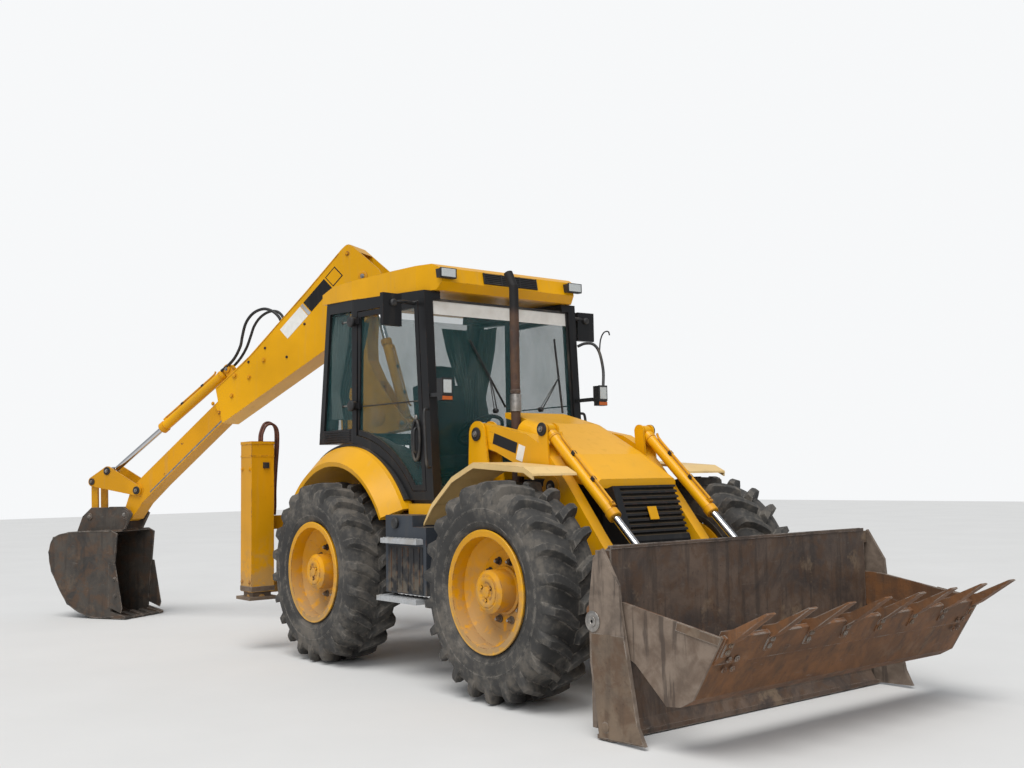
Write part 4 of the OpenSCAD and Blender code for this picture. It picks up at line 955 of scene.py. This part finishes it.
def cushion(name, centre, size, tilt=0.0, puff=0.012):
    """A padded block with crowned faces and piped seams."""
    bm = bmesh.new()
    bmesh.ops.create_cube(bm, size=1)
    bmesh.ops.subdivide_edges(bm, edges=bm.edges, cuts=9, use_grid_fill=True)
    turn = Matrix.Rotation(tilt, 4, "Y")
    for v in bm.verts:
        a = [max(0.0, 1 - (2 * c) ** 4) for c in v.co]
        long = max(range(3), key=lambda k: abs(v.co[k]))
        crown = a[(long + 1) % 3] * a[(long + 2) % 3]
        p = Vector([c * s for c, s in zip(v.co, size)])
        p[long] += math.copysign(puff * crown * (1 + 0.4 * noise.noise(v.co * 5)), v.co[long])
        # Stitched channels across the cushion
        if long != 1:
            p[long] -= math.copysign(0.006 * math.exp(-((abs(v.co.y) - 0.27) / 0.03) ** 2) * crown,
                                     v.co[long])
        v.co = turn @ p + centre
    mesh = bpy.data.meshes.new(name)
    bm.to_mesh(mesh)
    bm.free()
    mesh.materials.append(mats["cloth"])
    mesh.shade_smooth()
    obj = bpy.data.objects.new(name, mesh)
    scene.collection.objects.link(obj)
    b = obj.modifiers.new("round", "BEVEL")
    b.width = 0.022
    b.segments = 3
    b.angle_limit = math.radians(50)
    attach(obj, "chassis")


cushion("seat_cushion", row(412, 0, 1510), (0.5, 0.47, 0.11), math.radians(-4))
cushion("seat_back", row(168, 0, 1865), (0.11, 0.45, 0.6), math.radians(-8))
cushion("head_rest", row(128, 0, 2235), (0.09, 0.27, 0.17), math.radians(-8))
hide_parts("seat")


def curtain(name, top, along, wide, fold):
    """A tied-back curtain hung from top, gathered along a direction."""
    cols, rows = 48, 26
    verts = []
    shape = ((0.0, 1.0), (0.25, 0.86), (0.5, 0.62), (0.68, 0.42), (0.76, 0.38), (0.84, 0.46),
             (1.0, 0.6))
    for j in range(rows + 1):
        t = j / rows
        for (t0, w0), (t1, w1) in zip(shape, shape[1:]):
            if t0 <= t <= t1:
                width = wide * (w0 + (w1 - w0) * (t - t0) / (t1 - t0))
        for i in range(cols + 1):
            u = i / cols
            p = top + along * (u * width) - Vector((0, 0, 0.84 * t))
            verts.append(p + fold * 0.014 * math.sin(u * 12 * math.pi + 0.8 * math.sin(3 * t)))
    faces = [(j * (cols + 1) + i, j * (cols + 1) + i + 1, (j + 1) * (cols + 1) + i + 1,
              (j + 1) * (cols + 1) + i) for j in range(rows) for i in range(cols)]
    mesh = bpy.data.meshes.new(name)
    mesh.from_pydata(verts, [], faces)
    mesh.materials.append(mats["curtain"])
    mesh.shade_smooth()
    obj = bpy.data.objects.new(name, mesh)
    scene.collection.objects.link(obj)
    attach(obj, "chassis")


for tag, side in SIDES:
    curtain("side_curtain_" + tag, row(-330, side * 752, 2735), Vector((1, 0, 0)), 0.3,
            Vector((0, 1, 0)))
    curtain("rear_curtain_" + tag, row(-352, side * 715, 2735), Vector((0, -side, 0)), 0.34,
            Vector((1, 0, 0)))

# Backhoe
across = (arm(0, 1, 0) - arm(0, 0, 0)).normalized()
along = (dip(1, 0, 0) - dip(0, 0, 0)).normalized()
square = (dip(0, 0, 1) - dip(0, 0, 0)).normalized()

dipper = Piece("dipper_fittings", "dipper", "yellow_paint")
for w in (-1, 1):
    out = across * w
    dipper.pin_cap(dip(0, w * 152, 0), out, 0.07)
    dipper.pin_cap(dip(-263, w * DIPPER_SIDE, 251), out, 0.05, "yellow_worn")
    for u, v, r in ((1343, 343, 0.016), (1103, 363, 0.016), (1616, 332, 0.016), (1838, 300, 0.013),
                    (1838, 420, 0.013),
                    (1463, 470, 0.02), (-276, 547, 0.016), (1015, 450, 0.009), (880, 210, 0.009),
                    (520, 330, 0.009), (1250, 470, 0.009)):
        dipper.bolt(dip(u, w * DIPPER_SIDE, v), out, r, r * 0.8,
                    "yellow_worn" if r > 0.012 else "dark")
    # Blank plates and the reflector panel
    for quad, key, t in (
        (((-104, 410), (46, 398), (58, 532), (-92, 546)), "black", 0.0012),
        (((-92, 420), (38, 409), (48, 522), (-81, 535)), "yellow", 0.0022),
        (((62, 397), (385, 372), (397, 506), (74, 531)), "black", 0.0015),
        (((396, 371), (432, 368), (444, 502), (408, 505)), "step", 0.0015),
        (((440, 367), (758, 345), (768, 477), (450, 500)), "white", 0.0018),
    ):
        dipper.prism([dip(u, w * DIPPER_SIDE, v) for u, v in quad], out * t, key)
    # Weld beads along the plate's edges
    dipper.tube([dip(u, w * DIPPER_SIDE, v) for u,
                 v in ((-200, 612), (300, 566), (760, 536), (1204, 503), (1700, 514))], 0.005,
                 "yellow_worn", 6)
# Guides and rigid pipes along the dipper's top
for w in (-52, 52):
    dipper.tube([dip(-120, w, 628), dip(200, w, 600), dip(520, w, 578), dip(690, w, 566)], 0.011,
                "dark", 10)
    for u, v in ((0, 616), (300, 588), (600, 570)):
        dipper.block(dip(u, w, v - 8), (0.04, 0.05, 0.022), "dark", (along, across, square))
dipper.done()

inner = Piece("inner_dipper_fittings", "dipper_inner", "yellow_paint")
for w in (-1, 1):
    out = across * w
    for u, v, r in ((2408, 379, 0.02), (2780, 260, 0.014)):
        inner.lathe(dip(u, w * INNER_SIDE, v), out, [(0, r), (0.0004, r), (0.0006, r * 0.9)],
                    "yellow_worn", 24)
    inner.pin_cap(dip(1538, w * 44, 640), out, 0.04, "yellow_worn")
    inner.lathe(dip(3149, w * INNER_SIDE, 346), out, [(0, 0.07), (0.003, 0.07), (0.0045, 0.064)],
                "yellow_worn", 36)
    # Bare strip that the guides rub
    inner.prism([dip(u, w * INNER_SIDE, v) for u,
                 v in ((1890, 228), (3040, 226), (3040, 242), (1890, 246))], out * 0.0004, "steel")
inner.done()

hitch = Piece("hitch_fittings", "hoe_bucket", "bucket_steel")
for w in (-1, 1):
    out = across * w
    hitch.pin_cap(dip(3399, w * 151, 225), out, 0.042, "hoe")
    hitch.pin_cap(dip(3771, w * 151, 496), out, 0.036, "hoe")
    hitch.lathe(dip(3399, w * 151, 225), out, [(0, 0.062), (0.004, 0.062), (0.006, 0.056)], "hoe",
                32)
    # Side cutter on the bucket's lip, and the plate's rolled edge
    y = w * 300
    hitch.prism([dip(u, y, v) for u,
                 v in ((3700, -180), (3760, -120), (4040, -470), (3948, -618), (3905, -590))],
                 out * 0.008, "hoe")
    for u, v in ((3800, -300), (3900, -440)):
        hitch.bolt(dip(u, y + w * 8, v), out, 0.016, 0.006, "hoe")
    hitch.tube([dip(u, y, v) for u,
                v in ((3545, 128), (3985, 455), (4184, 538), (4316, 460), (4408, 284),
                      (4446, -112), (4292, -406), (4050, -590))],
               0.005, "hoe", 8)
# Wear straps round the bucket's back
for w in (-150, 150):
    prof = ((4330, 470), (4424, 286), (4463, -117), (4322, -376))
    for (u0, v0), (u1, v1) in zip(prof, prof[1:]):
        n = Vector((v1 - v0, 0, -(u1 - u0)))
        n = (along * -n.x + square * -n.z).normalized()
        a, b = dip(u0, w, v0), dip(u1, w, v1)
        half = across * 0.04
        hitch.prism([a - half, a + half, b + half, b - half], n * 0.012, "hoe")
hitch.done()

rocker = Piece("rocker_fittings", "rocker", "yellow_paint")
for w in (-1, 1):
    rocker.pin_cap(dip(3149, w * LINK_SIDE, 346), across * w, 0.042, "dark")
    rocker.pin_cap(dip(3324, w * LINK_SIDE, 753), across * w, 0.042, "dark")
rocker.done()
link = Piece("link_fittings", "tipping_link", "yellow_paint")
for w in (-1, 1):
    link.pin_cap(dip(3549, w * LINK_SIDE, 791), across * w, 0.036, "dark")
link.done()

boom = Piece("boom_fittings", "boom", "yellow_paint")
for w in (-1, 1):
    out = across * w
    boom.pin_cap(arm(300, w * 144, 750), out, 0.056)
    boom.pin_cap(arm(-240, w * BOOM_SIDE, 1930), out, 0.05, "yellow_worn")
    for s, z, r in ((300, 1250, 0.012), (300, 2300, 0.012), (250, 2700, 0.012), (330, 1700, 0.012)):
        boom.bolt(arm(s, w * BOOM_SIDE, z), out, r, 0.01, "dark")
    # Boss plates round the ears and rigid pipes down the side
    boom.lathe(arm(20, w * BOOM_SIDE, 1980), out, [(0, 0.07), (0.004, 0.07), (0.006, 0.064)],
               "yellow_worn", 36)
    for k in (0, 1):
        d = 28 * k
        boom.tube([arm(392 - d, w * 124, 1020), arm(400 - d, w * 124, 1500),
                   arm(392 - d, w * 124, 1880), arm(404 - d, w * 122, 2140),
                   arm(408 - d, w * 110, 2200)],
                  0.0095, "dark", 10)
    for z in (1150, 1600, 2030):
        boom.block(arm(384, w * 119, z), (0.07, 0.016, 0.03), "dark",
                   (arm(1, 0, 0) - arm(0, 0, 0), across, (0, 0, 1)))
boom.done()

post = Piece("kingpost_fittings", "kingpost", "yellow_paint")
for w in (-1, 1):
    post.pin_cap(arm(40, w * 144, 1060), across * w, 0.044)
post.lathe(arm(0, 0, 970), (0, 0, 1), [(0, 0.052), (0.01, 0.052), (0.014, 0.046)], "dark", 36)
post.done()
slide = Piece("carriage_fittings", "carriage", "dark_steel")
for y in (-250, 250):
    for z in (470, 1080):
        slide.bolt(row(-1165, 450 + y, z), (-1, 0, 0), 0.022, 0.016)
for y in (-1, 1):
    slide.corners(row(-1172, 450 + y * 292, 440), row(-1164, 450 + y * 240, 1110), "yellow_worn")
slide.done()


def ram_fittings(name, body, p, q, r, length, side, top):
    """Gland, base ring, ports and rigid pipe of a ram from p towards q."""
    ram = Piece(name, body, "yellow_paint")
    d = (q - p).normalized()
    side = side.normalized()
    top = (top - d * top.dot(d)).normalized()
    end = p + d * length
    ram.lathe(end - d * 0.06, d,
              [(0, r + 0.0005), (0.002, r + 0.008), (0.054, r + 0.008), (0.06, r + 0.003)],
              "yellow_worn", 36)
    ram.lathe(p + d * 0.1, d,
              [(0, r + 0.0005), (0.002, r + 0.004), (0.02, r + 0.004), (0.022, r + 0.001)],
              "yellow_worn", 36)
    off = top * (r + 0.017)
    ram.tube([end - d * 0.09 + top * r * 0.8, end - d * 0.1 + off, end - d * 0.16 + off,
              p + d * length * 0.45 + off, p + d * 0.2 + off,
              p + d * 0.15 + top * (r + 0.034)], 0.01, "yellow_worn")
    ram.block(end - d * 0.095 + top * (r + 0.006), (0.04, 0.034, 0.026), "yellow_worn",
              (d, side, top))
    for t in (0.35, 0.65):
        ram.block(p + d * length * t + top * (r + 0.008), (0.032, 0.03, 0.03), "dark",
                  (d, side, top))
    ram.done()


ram_fittings("boom_ram_fittings", "boom_ram_barrel", arm(40, 0, 1060), arm(20, 0, 1980), 0.046,
             0.83, across, arm(0, 0, 0) - arm(1, 0, 0))
tail = dip(-263, 0, 251)
ram_fittings("dipper_ram_fittings", "dipper_ram_barrel", arm(-240, 0, 1930), tail, 0.046, 0.86,
             across, arm(0, 0, 0) - arm(1, 0, 0))
ram_fittings("bucket_ram_fittings", "bucket_ram_barrel", dip(1538, 0, 640), dip(3324, 0, 753),
             0.052, 1.03, across, square)

# Stabilisers and grille
legs = Piece("leg_fittings", "chassis", "yellow_paint")
for side in (-1, 1):
    c = (-955, side * 1120)
    for z, h, o, key in ((1706, 26, 4, "yellow_worn"), (1600, 16, 3, "yellow_worn"),
                         (486, 40, 4, "wear")):
        for dx, dy, sx, sy in ((0, 1, 211, 0), (0, -1, 211, 0), (1, 0, 0, 211), (-1, 0, 0, 211)):
            centre = row(c[0] + dx * (102.5 + o / 2), c[1] + dy * (102.5 + o / 2), z + h / 2)
            legs.block(centre, ((sx or o) / 1000, (sy or o) / 1000, h / 1000), key)
    for dz in (560, 1500):
        for dx in (-70, 70):
            legs.bolt(row(c[0] + dx, c[1] + side * 102.5, dz), (0, side, 0), 0.012, 0.009,
                      "yellow_worn")
    legs.block(row(-848, side * 1095, 1530), (0.03, 0.05, 0.05), "dark")
# Blank plate in the middle of the grille
g = Vector((-130, 0, 355)).normalized()
go = Vector((g.z, 0, -g.x))
p = row(2588, 0, 1145) + go * 0.006
legs.prism([p - Vector((0, 0.04, 0)) - g * 0.045, p + Vector((0, 0.04, 0)) - g * 0.045,
            p + Vector((0, 0.04, 0)) + g * 0.045,
            p - Vector((0, 0.04, 0)) + g * 0.045], go * 0.006, "yellow")
legs.done()
for tag, side in SIDES:
    foot = Piece("leg_foot_" + tag, "leg_" + tag, "yellow_paint")
    foot.lathe(row(-955, side * 1120, 438), (0, 0, 1), [(0, 0.09), (0.02, 0.085), (0.03, 0.06)],
               "yellow_worn", 32)
    foot.done()

hood = Piece("bonnet_fittings", "bonnet", "yellow_paint")
for side in (-1, 1):
    # Screws and catch in the bonnet's side
    for x, z in ((1700, 1560), (2000, 1500), (2250, 1440)):
        hood.bolt(row(x, side * 376, z), (0, side, 0), 0.009, 0.006, "dark")
    hood.lathe(row(1480, side * 376, 1600), (0, side, 0),
               [(0, 0.024), (0.005, 0.024), (0.008, 0.018)], "plastic", 24)
hood.done()

# Free hoses
for name, obj in hoses.items():
    obj.data.materials.append(mats["brown_hose" if "leg" in name else "hose"])
